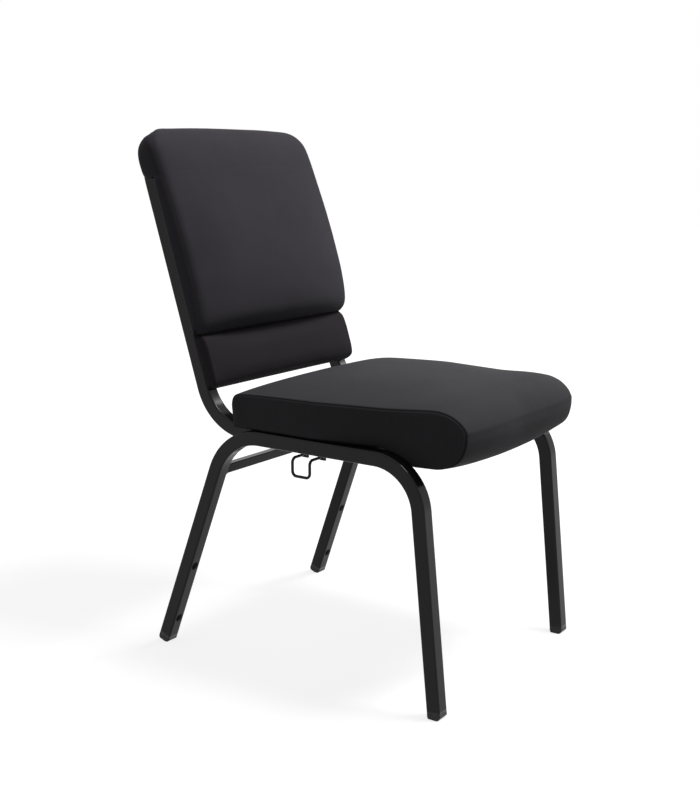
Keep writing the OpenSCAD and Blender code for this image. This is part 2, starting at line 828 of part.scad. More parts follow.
module back_cover() {
    color("#3a393e") difference() {
        on_back() difference() {
            soft_form(back_rings(0));
            soft_form(back_rings(fabric));
            back_board_block(fit_gap);
            hood_tube_space();
            hood_pocket();
            back_opening(back_bottom + back_hem, hood_bottom + overrun);
        }
        back_bolt_holes();
    }
}

module lower_back_foam() {
    color("#d8cfae") on_back() difference() {
        soft_form(lower_rings(foam_inset));
        back_board_block(fit_gap);
    }
}

module lower_back_cover() {
    color("#2a272b") difference() {
        on_back() difference() {
            soft_form(lower_rings(0));
            soft_form(lower_rings(fabric));
            back_board_block(fit_gap);
            back_opening(lower_bottom + back_hem, lower_top - back_hem / 2);
        }
        back_bolt_holes();
    }
}

// The outer back panel closes the back between the uprights, up into the hood
module outer_back_panel() {
    color("#1b1b1c") on_back() translate([0, half_tube - fabric, 0]) rotate([90, 0, 0])
        linear_extrude(outer_panel) arch(back_tangent + outer_panel, half_tube + fit_gap);
}

module back_bolts() {
    color("#2a2a2c") at_back_bolts() bolt_body(back_bolt_length);
}

module back_tee_nuts() {
    color("#c9c9c4") at_back_nuts() tee_nut();
}

arm_z = rail_bottom - arm_drop;
tip_x = side_axis + half_tube + hook_reach;
// The guide lies under the run of the back frame, just inside the rail
guide_outer = lower_half - fabric;
guide_inner = guide_outer - guide_length;
// The stops lie where they meet the guide a little before the wire leaves it
stop_x = guide_inner - hook_travel - wire_bend - 2 * fit_gap;

module wire_straight(length) {
    cylinder(d = wire, h = length, $fn = 24);
}

// A quarter bend from the z direction towards -x, starting at the origin
module wire_quarter() {
    translate([-wire_bend, 0, 0]) rotate([90, 0, 0])
        rotate_extrude(angle = 90, $fn = 48) translate([wire_bend, 0]) circle(d = wire, $fn = 24);
}

module ganging_hook() {
    side_y = hook_span / 2;
    leg = hook_drop - 2 * wire_bend;
    color("#8d9093") mirror([1, 0, 0]) placed() translate([0, hook_at, 0]) {
        translate([tip_x, wire_bend - side_y, arm_z - hook_drop]) rotate([-90, 0, 0])
            wire_straight(hook_span - 2 * wire_bend);
        for (turn = [0, 1]) mirror([0, turn, 0]) {
            translate([tip_x, side_y, arm_z - wire_bend - leg]) wire_straight(leg);
            translate([tip_x, side_y, arm_z - wire_bend - leg]) mirror([0, 0, 1])
                rotate([0, 0, 90]) wire_quarter();
            translate([tip_x, side_y, arm_z - wire_bend]) wire_quarter();
            translate([stop_x + wire_bend, side_y, arm_z]) rotate([0, 90, 0])
                wire_straight(tip_x - stop_x - 2 * wire_bend);
            translate([stop_x + wire_bend, side_y, arm_z]) rotate([0, -90, 0])
                rotate([0, 0, -90]) wire_quarter();
            translate([stop_x, side_y + wire_bend, arm_z]) rotate([-90, 0, 0])
                wire_straight(wire);
        }
    }
}

// A channel with an ear at each end of each arm's bore
module ganging_guide() {
    ear = wire + 2 * guide_lip;
    width = hook_span + ear;
    notch = hook_span - ear;
    height = arm_drop + ear / 2;
    low = rail_bottom - height - overrun;
    hang = height - guide_sheet + overrun;
    color("#1c1c1d") mirror([1, 0, 0]) placed() difference() {
        translate([guide_inner, hook_at - width / 2, rail_bottom - height])
            cube([guide_length, width, height]);
        translate([guide_inner + guide_sheet, hook_at - width / 2 - overrun, low])
            cube([guide_length - 2 * guide_sheet, width + 2 * overrun, hang]);
        translate([guide_inner - overrun, hook_at - notch / 2, low])
            cube([guide_length + 2 * overrun, notch, hang]);
        for (y = [-hook_span / 2, hook_span / 2])
            translate([guide_inner - overrun, hook_at + y, arm_z]) rotate([0, 90, 0])
                cylinder(d = wire + 2 * slide_clearance, h = guide_length + 2 * overrun, $fn = 24);
    }
}

module ganging_loop() {
    side_y = (loop_span + wire) / 2;
    bow_x = side_axis + half_tube + loop_reach;
    arm = loop_arm + loop_reach - wire_bend;
    level = rail_bottom - wire / 2;
    color("#8d9093") placed() translate([0, hook_at, level]) {
        translate([bow_x, wire_bend - side_y, 0]) rotate([-90, 0, 0])
            wire_straight(2 * (side_y - wire_bend));
        for (turn = [0, 1]) mirror([0, turn, 0]) {
            translate([bow_x - wire_bend - arm, side_y, 0]) rotate([0, 90, 0])
                wire_straight(arm);
            translate([bow_x - wire_bend, side_y, 0]) rotate([0, 90, 0])
                rotate([0, 0, 90]) wire_quarter();
        }
    }
}

right_leg_frame();
left_leg_frame();
rear_leg_brace();
back_frame();
front_seat_support();
rear_seat_support();
right_front_glide();
left_front_glide();
right_rear_glide();
left_rear_glide();
stack_bumpers();
seat_board();
seat_foam();
seat_cover();
seat_dust_cover();
seat_bolts();
seat_tee_nuts();
back_board();
back_foam();
back_cover();
lower_back_foam();
lower_back_cover();
outer_back_panel();
back_bolts();
back_tee_nuts();
ganging_guide();
ganging_hook();
ganging_loop();
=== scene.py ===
import random
from math import cos, exp, pi, radians as rad, sin, sqrt, tan

import bmesh
import bpy
import numpy as np
from mathutils import Euler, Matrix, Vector


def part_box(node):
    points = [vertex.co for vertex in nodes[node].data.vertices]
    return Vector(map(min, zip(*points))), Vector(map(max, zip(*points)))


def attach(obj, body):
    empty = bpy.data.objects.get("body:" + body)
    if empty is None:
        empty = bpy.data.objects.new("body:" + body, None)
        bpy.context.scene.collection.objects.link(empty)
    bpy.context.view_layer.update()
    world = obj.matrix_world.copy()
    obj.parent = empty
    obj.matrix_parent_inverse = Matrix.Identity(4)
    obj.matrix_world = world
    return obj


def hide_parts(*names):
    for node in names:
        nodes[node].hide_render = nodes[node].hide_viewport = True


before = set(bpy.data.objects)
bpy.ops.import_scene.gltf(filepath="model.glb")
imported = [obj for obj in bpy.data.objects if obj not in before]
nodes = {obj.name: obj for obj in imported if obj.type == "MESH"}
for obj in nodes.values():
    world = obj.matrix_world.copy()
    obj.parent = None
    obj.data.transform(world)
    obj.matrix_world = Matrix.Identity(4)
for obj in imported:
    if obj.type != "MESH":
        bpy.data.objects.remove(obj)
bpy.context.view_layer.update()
scene = bpy.context.scene
mm = 0.001
fullTurn = 6.283  # one whole wave, in radians
white = (1, 1, 1, 1)
print("frame loaded:", len(nodes), "nodes")

# ---- camera, at the photo's own view (700 x 800)
photoView = {"place": (-1.77583, -1.23746, 0.8831), "tilt": 11.28, "turn": -54.69, "lens": 54.09,
             "sensor": 36}
cameraData = bpy.data.cameras.new("photoCamera")
cameraData.sensor_fit = "VERTICAL"
cameraData.sensor_height = photoView["sensor"]
cameraData.lens = photoView["lens"]
camera = bpy.data.objects.new("photoCamera", cameraData)
camera.location = photoView["place"]
camera.rotation_euler = Euler((rad(90 - photoView["tilt"]), 0, rad(photoView["turn"])))
scene.collection.objects.link(camera)
scene.camera = camera
scene.view_settings.view_transform = "Standard"


# ---- small helpers
def linearColour(code):
    channels = [int(code[i:i + 2], 16) / 255 for i in (1, 3, 5)]
    linear = [c / 12.92 if c <= 0.04045 else ((c + 0.055) / 1.055) ** 2.4 for c in channels]
    return (*linear, 1.0)


def feed(node, links):
    # input name or number -> a socket, a node (its first output), a hex colour or a plain value
    for key, value in links.items():
        value = value.outputs[0] if isinstance(value, bpy.types.Node) else value
        if isinstance(value, bpy.types.NodeSocket):
            node.id_data.links.new(value, node.inputs[key])
        else:
            node.inputs[key].default_value = linearColour(value) if isinstance(value, str) else value


def addNode(tree, kind, links=None, **settings):
    # a shader node goes by its short name
    node = tree.nodes.new(kind if "Node" in kind else "ShaderNode" + kind)
    for key, value in settings.items():
        setattr(node, key, value)
    feed(node, links or {})
    return node


def emptyTree(owner):
    owner.use_nodes = True
    owner.node_tree.nodes.clear()
    return owner.node_tree


def newMaterial(name, base):
    material = bpy.data.materials.new(name)
    tree = emptyTree(material)
    shader = addNode(tree, "BsdfPrincipled", base)
    addNode(tree, "OutputMaterial", {"Surface": shader})
    return material, tree, shader


def objectPoint(tree):
    return addNode(tree, "TexCoord").outputs["Object"]


def newPiece(name, verts, faces, material):
    mesh = bpy.data.meshes.new(name)
    mesh.from_pydata([tuple(v) for v in verts], [], faces)
    mesh.validate()
    mesh.materials.append(material)
    mesh.polygons.foreach_set("use_smooth", [True] * len(mesh.polygons))
    mesh.update()
    obj = bpy.data.objects.new(name, mesh)
    scene.collection.objects.link(obj)
    return obj


def outward(obj, near=1e-5, thin=0):
    # doubles merged, slivers taken out, faces turned outwards
    bm = bmesh.new()
    bm.from_mesh(obj.data)
    bmesh.ops.remove_doubles(bm, verts=bm.verts, dist=near)
    if thin:
        bmesh.ops.dissolve_degenerate(bm, edges=bm.edges, dist=thin)
    bmesh.ops.recalc_face_normals(bm, faces=bm.faces)
    bm.to_mesh(obj.data)
    bm.free()
    obj.data.update()
    return obj


def evaluatedMesh(obj):
    graph = bpy.context.evaluated_depsgraph_get()
    solved = obj.evaluated_get(graph)
    return bpy.data.meshes.new_from_object(solved, preserve_all_data_layers=True, depsgraph=graph)


def readArray(items, key, width=3):
    values = np.zeros(len(items) * width)
    items.foreach_get(key, values)
    return values.reshape(-1, width) if width > 1 else values


def curveThrough(xs, ys):
    # smooth line through the stations that never overshoots them
    xs, ys = np.array(xs, float), np.array(ys, float)
    gaps = np.diff(xs)
    slopes = np.diff(ys) / gaps
    ends = np.zeros(len(xs))
    ends[0], ends[-1] = slopes[0], slopes[-1]
    for i in range(1, len(xs) - 1):
        if slopes[i - 1] * slopes[i] > 0:
            a, b = 2 * gaps[i] + gaps[i - 1], gaps[i] + 2 * gaps[i - 1]
            ends[i] = (a + b) / (a / slopes[i - 1] + b / slopes[i])

    def at(x):
        x = np.clip(np.asarray(x, float), xs[0], xs[-1])
        i = np.clip(np.searchsorted(xs, x, side="right") - 1, 0, len(gaps) - 1)
        t = (x - xs[i]) / gaps[i]
        return ((2 * t ** 3 - 3 * t ** 2 + 1) * ys[i] + (t ** 3 - 2 * t ** 2 + t) * gaps[i] * ends[i]
                + (3 * t ** 2 - 2 * t ** 3) * ys[i + 1] + (t ** 3 - t ** 2) * gaps[i] * ends[i + 1])
    return at


def stationLine(rows, column, scale=1):
    return curveThrough([row[0] for row in rows], [row[column] * scale for row in rows])


def seenDirectly(tree):
    # 1 where the surface is looked at, mirrored or seen through glass, 0 where it lights others
    path = addNode(tree, "LightPath")
    seen = addNode(tree, "Math", {
        0: path.outputs["Is Camera Ray"], 1: path.outputs["Is Glossy Ray"]}, operation="MAXIMUM")
    return addNode(tree, "Math", {
        0: seen, 1: path.outputs["Is Transmission Ray"]}, operation="MAXIMUM").outputs["Value"]


# ---- materials
def paintedSteel(name):
    # mild steel in black powder coat, cured smooth: a deep gloss with a faint orange peel,
    # rubbed grey and dull, in marks of 7 mm, where shoes meet it near the floor
    material, tree, shader = newMaterial(name, {
        "Base Color": "#0d0d0e", "Roughness": 0.2, "IOR": 1.5, "Specular IOR Level": 0.18})
    point = objectPoint(tree)
    peel = addNode(tree, "TexNoise", {"Vector": point, "Scale": 420.0, "Detail": 2.0})  # peel 2.4 mm across
    bump = addNode(tree, "Bump", {"Height": peel, "Strength": 0.06, "Distance": 0.0004})
    feed(shader, {"Normal": bump})
    patches = addNode(tree, "TexNoise", {"Vector": point, "Scale": 26.0, "Detail": 3.0})  # clouds of 40 mm
    gloss = addNode(tree, "MapRange", {"Value": patches, "To Min": 0.12, "To Max": 0.22})
    rubs = addNode(tree, "TexNoise", {"Vector": point, "Scale": 150.0, "Detail": 6.0, "Roughness": 0.7})
    height = addNode(tree, "SeparateXYZ", {0: point})
    low = addNode(tree, "MapRange", {
        "Value": height.outputs["Z"], "From Min": 0.0, "From Max": 0.08, "To Min": 0.16, "To Max": -0.05})
    rubbed = addNode(tree, "Math", {0: rubs, 1: low}, operation="ADD")
    scuff = addNode(tree, "MapRange", {
        "Value": rubbed, "From Min": 0.62, "From Max": 0.74, "To Min": 0.0, "To Max": 0.55})
    blend = addNode(tree, "Mix", {0: scuff, 6: "#0d0d0e", 7: "#363533"}, data_type="RGBA")
    feed(shader, {"Base Color": blend.outputs[2]})
    dull = addNode(tree, "Math", {0: scuff, 1: 0.5, 2: gloss}, operation="MULTIPLY_ADD")
    feed(shader, {"Roughness": dull})
    return material


def wovenCloth(name, colour, light, thread=1.3):
    # polyester crepe upholstery, woven and dyed in the piece: matt, with a fine tick of weave
    # and a faint bloom of loose fibre. The real threads are 0.5 mm; they are drawn at 1.3 mm
    # so that they show at all. A wave is two threads long; the dye drifts over 110 mm.
    material, tree, shader = newMaterial(name, {
        "Base Color": colour, "Roughness": 0.8, "IOR": 1.45, "Specular IOR Level": 0.12,
        "Sheen Weight": 0.05, "Sheen Roughness": 0.5, "Sheen Tint": "#8c8b90"})
    point = objectPoint(tree)
    uv = addNode(tree, "UVMap", uv_map="cloth").outputs["UV"]
    waves = [addNode(tree, "TexWave", {
        "Vector": uv, "Scale": 1000 / thread / 20 * 3.1416, "Distortion": 1.2, "Detail": 1.0,
        "Detail Scale": 0.6}, bands_direction=way) for way in ("X", "Y")]
    weave = addNode(tree, "Math", {
        0: waves[0].outputs["Fac"], 1: waves[1].outputs["Fac"]}, operation="MULTIPLY")
    fuzz = addNode(tree, "TexNoise", {"Vector": point, "Scale": 900.0, "Detail": 2.0})  # fibres 1.1 mm long
    height = addNode(tree, "Math", {0: fuzz, 1: 0.6, 2: weave}, operation="MULTIPLY_ADD")
    bump = addNode(tree, "Bump", {"Height": height, "Strength": 0.25, "Distance": 0.0003})
    feed(shader, {"Normal": bump})
    cloud = addNode(tree, "TexNoise", {"Vector": point, "Scale": 9.0, "Detail": 4.0, "Roughness": 0.6})
    shade = addNode(tree, "Math", {0: weave, 1: 0.35, 2: cloud}, operation="MULTIPLY_ADD")
    mix = addNode(tree, "MapRange", {"Value": shade, "From Min": 0.35, "From Max": 1.0})
    blend = addNode(tree, "Mix", {0: mix, 6: colour, 7: light}, data_type="RGBA")
    # painted shade: the seam groove and the valleys between pads are darkened towards near black, standing in
    # for the shade that falls in them
    seam = addNode(tree, "Attribute", attribute_name="seamShade")
    sewn = addNode(tree, "Mix", {
        0: seam.outputs["Fac"], 6: blend.outputs[2], 7: "#060607"}, data_type="RGBA")
    feed(shader, {"Base Color": sewn.outputs[2]})
    return material


def mouldedPlastic(name, colour, roughness):
    # injection-moulded polypropylene: satin, spark-eroded grain, scuffed where it meets the floor
    material, tree, shader = newMaterial(name, {
        "Base Color": colour, "Roughness": roughness, "IOR": 1.49, "Specular IOR Level": 0.3})
    point = objectPoint(tree)
    grain = addNode(tree, "TexNoise", {"Vector": point, "Scale": 1400.0, "Detail": 2.0})  # grain 0.7 mm
    bump = addNode(tree, "Bump", {"Height": grain, "Strength": 0.15, "Distance": 0.0002})
    feed(shader, {"Normal": bump})
    height = addNode(tree, "SeparateXYZ", {0: point})
    scuff = addNode(tree, "MapRange", {
        "Value": height.outputs["Z"], "From Min": 0.0, "From Max": 0.004, "To Min": 0.18, "To Max": 0.0})
    blend = addNode(tree, "Mix", {0: scuff, 6: colour, 7: "#5b5a57"}, data_type="RGBA")
    feed(shader, {"Base Color": blend.outputs[2]})
    return material


def softRubber():
    # moulded rubber buffer: dead matt, with dust in patches of 6 mm
    material, tree, shader = newMaterial("bufferRubber", {
        "Base Color": "#0a0a0a", "Roughness": 0.75, "IOR": 1.52, "Specular IOR Level": 0.12})
    dust = addNode(tree, "TexNoise", {"Vector": objectPoint(tree), "Scale": 160.0, "Detail": 3.0})
    blend = addNode(tree, "Mix", {0: dust, 6: "#060606", 7: "#121111"}, data_type="RGBA")
    feed(shader, {"Base Color": blend.outputs[2]})
    return material


def birchPly():
    # rotary-cut plywood board: pale tan, soft grain about 42 mm long and 3 mm wide
    material, tree, shader = newMaterial("seatPlywood", {
        "Base Color": "#b98f5c", "Roughness": 0.6, "IOR": 1.5})
    mapping = addNode(tree, "Mapping", {"Vector": objectPoint(tree), "Scale": (6.0, 90.0, 90.0)})
    grain = addNode(tree, "TexNoise", {"Vector": mapping, "Scale": 4.0, "Detail": 6.0})
    blend = addNode(tree, "Mix", {0: grain, 6: "#a87d4b", 7: "#cfa873"}, data_type="RGBA")
    feed(shader, {"Base Color": blend.outputs[2]})
    return material


def platedSteel(name, colour, roughness):
    # zinc-plated or blackened steel: metal, with tumbling marks every 2.6 mm
    material, tree, shader = newMaterial(name, {
        "Base Color": colour, "Metallic": 1.0, "Roughness": roughness})
    wear = addNode(tree, "TexNoise", {"Vector": objectPoint(tree), "Scale": 380.0, "Detail": 4.0})
    gloss = addNode(tree, "MapRange", {
        "Value": wear, "To Min": roughness - 0.08, "To Max": roughness + 0.12})
    feed(shader, {"Roughness": gloss})
    return material


def spunCloth():
    # spun-bonded polypropylene dust cloth: black felted web with an embossed dot every 3 mm
    material, tree, shader = newMaterial("dustCloth", {
        "Base Color": "#18181a", "Roughness": 0.9, "IOR": 1.49, "Specular IOR Level": 0.15})
    dots = addNode(tree, "TexVoronoi", {"Vector": objectPoint(tree), "Scale": 330.0, "Randomness": 0.15})
    bump = addNode(tree, "Bump", {"Height": dots, "Strength": 0.5, "Distance": 0.0003})
    feed(shader, {"Normal": bump})
    blend = addNode(tree, "Mix", {0: dots, 6: "#121213", 7: "#232325"}, data_type="RGBA")
    feed(shader, {"Base Color": blend.outputs[2]})
    return material


frameFinish = paintedSteel("powderCoat")
seatCloth = wovenCloth("seatCloth", "#313032", "#38373a")
backCloth = wovenCloth("backCloth", "#302e33", "#37353a")
# painted shade: the lower pad is the same cloth as the back, made darker to stand for the shade under the
# lumbar roll
lowerCloth = wovenCloth("lowerCloth", "#211e21", "#272427")
panelCloth = wovenCloth("panelCloth", "#242325", "#2b2a2c")
glidePlastic = mouldedPlastic("glidePlastic", "#111110", 0.35)
bumperRubber = softRubber()
plywood = birchPly()
boltSteel = platedSteel("blackBolt", "#3a3a3c", 0.35)
nutSteel = platedSteel("zincNut", "#c9c9c4", 0.3)
wireSteel = paintedSteel("wirePaint")
dustFinish = spunCloth()
print("materials made:", len(bpy.data.materials))

# ---- sizes repeated from the part's source, in millimetres
sizes = {
    "tube": 25, "railHeight": 428, "frameWidth": 470, "frameDepth": 409,
    "frontLean": 5.8, "rearLean": 20.4, "splay": 1.7, "frontBend": 85, "rearBend": 105,
    "glide": 9, "glideEdge": 7, "glideFlat": 1, "backLine": 469, "recline": 17.4, "backBend": 100,
    "backCorner": 60, "backRise": 513, "runStart": 121, "middleY": 278.891, "fit": 0.3}
halfTube = sizes["tube"] / 2
railAxis = sizes["railHeight"] - halfTube
sideAxis = sizes["frameWidth"] / 2 - halfTube
backAxis = sideAxis - sizes["tube"]


def cornerY(lean):
    return halfTube * (1 - sin(rad(lean))) / cos(rad(lean))


recline = rad(sizes["recline"])
frontCornerY = cornerY(sizes["frontLean"])
rearCornerY = sizes["frameDepth"] - cornerY(sizes["rearLean"])
backCornerY = sizes["backLine"] - halfTube * (tan(recline) + 1 / cos(recline))
reclineUp = np.array([0, sin(recline), cos(recline)])
reclineBack = np.array([0, cos(recline), -sin(recline)])
bendTangent = sizes["backBend"] * tan(rad(90 - sizes["recline"]) / 2)
backOrigin = np.array([0, backCornerY - sizes["middleY"], railAxis])


def onBack(x, depth, height):
    # depth is in front of the uprights' axis, height is up the recline
    return backOrigin + np.array([x, 0, 0]) - reclineBack * depth + reclineUp * height


# ---- square tube, swept along a line of (centre, outward, across) places
def tubeSection(side, corner, arcSteps=6, support=0.7):
    # flats keep a support line beside each rounded corner, so that they shade flat
    points = []
    out = side / 2 - corner
    for quarter in range(4):
        base = 90 * quarter
        cx = out * (1 if quarter in (0, 3) else -1)
        cy = out * (1 if quarter in (0, 1) else -1)
        arc = [(cx + corner * cos(rad(base + 90 * k / arcSteps)),
                cy + corner * sin(rad(base + 90 * k / arcSteps))) for k in range(arcSteps + 1)]
        before = (support * sin(rad(base)), -support * cos(rad(base)))
        after = (-support * cos(rad(base)), -support * sin(rad(base)))
        points.append((arc[0][0] + before[0], arc[0][1] + before[1]))
        points.extend(arc)
        points.append((arc[-1][0] + after[0], arc[-1][1] + after[1]))
    return points


def ringFaces(first, second, size):
    return [(first + j, first + (j + 1) % size, second + (j + 1) % size, second + j) for j in range(size)]


def sweptTube(name, places, side, corner, material, hollow=None, boreDepth=30):
    section = tubeSection(side, corner)
    size = len(section)
    verts, faces = [], []

    def ring(centre, outDir, acrossDir, scale=1.0):
        for u, v in section:
            verts.append((centre + outDir * u * scale + acrossDir * v * scale) * mm)

    for centre, outDir, acrossDir in places:
        ring(centre, outDir, acrossDir)
    for i in range(len(places) - 1):
        faces += ringFaces(i * size, (i + 1) * size, size)
    for end, inner in ((0, 1), (len(places) - 1, len(places) - 2)):
        first = end * size
        if hollow:
            # the open end shows the wall and the dark bore
            inward = places[inner][0] - places[end][0]
            inward = inward / np.linalg.norm(inward)
            bore = 1 - 2 * hollow / side
            for depth in (0, boreDepth):
                start = len(verts)
                ring(places[end][0] + inward * depth, places[end][1], places[end][2], bore)
                faces += ringFaces(first, start, size)
                first = start
        faces.append(tuple(first + j for j in range(size)))
    return outward(newPiece(name, verts, faces, material))


def legPlaces(side):
    # from the front glide up, along the rail and down to the rear glide; the rear leg is
    # splayed about the rail
    s = sizes
    splay = rad(s["splay"])

    def legLength(lean):
        tilt = rad(lean)
        return s["glideEdge"] + (railAxis - (halfTube - s["glideEdge"]) * sin(tilt)
                                 - s["glideEdge"] + s["glideFlat"]) / cos(tilt)

    def half(cornerPoint, tangent, radius, toAngle, lean, turn, steps=22):
        forward = 1 if toAngle > 90 else -1
        centre = np.array([cornerPoint + forward * tangent, -radius])
        row = []
        for i in range(steps + 1):
            a = rad(90 + (toAngle - 90) * i / steps)
            row.append((centre + radius * np.array([cos(a), sin(a)]), a))
        leg = np.array([-forward * sin(rad(lean)), -cos(rad(lean))])
        bottom = np.array([cornerPoint, 0]) + leg * (legLength(lean) - s["glide"])
        last = row[-1][0]
        for share in (0.02, 0.5, 0.98, 1.0):  # rings near both ends keep the straight part flat
            row.append((last + (bottom - last) * share, rad(toAngle)))
        places = []
        for at, a in row:
            centre3 = np.array([at[0], at[1], 0.0])
            outDir = np.array([cos(a), sin(a), 0.0])
            across = np.array([0.0, 0.0, 1.0])
            if turn:
                c, n = cos(turn), sin(turn)
                outDir, across = outDir * c + across * n, across * c - outDir * n
                spin = np.array([[1, 0, 0], [0, c, n], [0, -n, c]])
                centre3, outDir, across = spin @ centre3, spin @ outDir, spin @ across
            places.append((centre3, outDir, across))
        return places

    frontTangent = s["frontBend"] * tan(rad(90 - s["frontLean"]) / 2)
    rearTangent = s["rearBend"] * tan(rad(90 - s["rearLean"]) / 2)
    front = half(frontCornerY, frontTangent, s["frontBend"], 180 - s["frontLean"], s["frontLean"], 0)
    rear = half(rearCornerY, rearTangent, s["rearBend"], s["rearLean"], s["rearLean"], splay)
    both = front[::-1] + rear

    def real(v, isPoint):
        base = np.array([side * sideAxis, -s["middleY"], railAxis]) if isPoint else np.zeros(3)
        return base + np.array([side * v[2], v[0], v[1]])

    return [(real(c, True), real(o, False), real(a, False)) for c, o, a in both]


def backPlaces():
    # left run, lower bend, upright, top corner, crossbar, and the same down the other side
    s = sizes
    steps = {"bend": 24, "corner": 16}
    runEnd = backCornerY - bendTangent
    cornerX, cornerZ = backAxis - s["backCorner"], s["backRise"] - s["backCorner"]
    sideways = np.array([1.0, 0, 0])
    bendCentre = np.array([backAxis, runEnd - s["middleY"], railAxis + s["backBend"]])
    left = []
    for y in (s["runStart"], s["runStart"] + 3, runEnd - 2, runEnd):
        left.append((np.array([backAxis, y - s["middleY"], railAxis]), np.array([0, 0, -1.0]), sideways))
    for i in range(1, steps["bend"] + 1):
        a = rad(-90 + (90 - s["recline"]) * i / steps["bend"])
        outDir = np.array([0, cos(a), sin(a)])
        left.append((bendCentre + s["backBend"] * outDir, outDir, sideways))
    for height in (bendTangent + 2, (bendTangent + cornerZ) / 2, cornerZ - 2):
        left.append((onBack(backAxis, 0, height), reclineBack, sideways))
    for i in range(steps["corner"] + 1):
        a = rad(90 * i / steps["corner"])
        across = np.array([cos(a), 0, 0]) + reclineUp * sin(a)
        left.append((onBack(cornerX, 0, cornerZ) + s["backCorner"] * across, reclineBack, across))
    flip = np.array([-1.0, 1.0, 1.0])
    right = [(c * flip, o * flip, a * flip) for c, o, a in reversed(left)]
    return left + right


frameLook = {"arcCorner": 3.0, "wall": 1.5}
for side, word in ((1, "left"), (-1, "right")):
    leg = sweptTube(word + "LegTube", legPlaces(side), sizes["tube"], frameLook["arcCorner"], frameFinish)
    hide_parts(word + "_leg_frame")
    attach(leg, "chair")
backTube = sweptTube("backTube", backPlaces(), sizes["tube"], frameLook["arcCorner"], frameFinish,
                     hollow=frameLook["wall"])
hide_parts("back_frame")
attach(backTube, "chair")
print("frame tubes swept")


# ---- cushions: a band of cloth sewn to two side panels, filled and settled
sewing = {"samples": 1500, "seamRound": 0.293, "grooveRows": (1.1, 2.4), "bandRows": (1, 6),
          "grooveDraw": 0.7, "shadeReach": 1.8, "sideRows": (1.3, 2.8, 5.0, 9.0), "sideShare": 0.2,
          "sideShareStep": 0.14, "puffReach": 14, "middlePower": 4}
plainStation = {"tuck": 0, "low": 0, "sag": 0, "forward": 0}
plainLook = {"capSteps": 2, "shoulder": (), "fullness": 1.0, "seamDark": 0.0, "tuckPower": 1,
             "valleyShade": lambda s: 0.0, "pinSide": lambda s, fromSeam: 1.0}


def roundedDraw(distance, radius):
    # how far a quarter round of this radius lies inside its corner, this far from the edge
    left = max(0, radius - distance)
    return radius - sqrt(max(0, radius * radius - left * left))


def heldNear(fromSeam, held, reach, most=1.0):
    # 1 beside the seam, then less and less
    return 1.0 if fromSeam < held else max(0.0, 1 - (fromSeam - held) / reach) * most


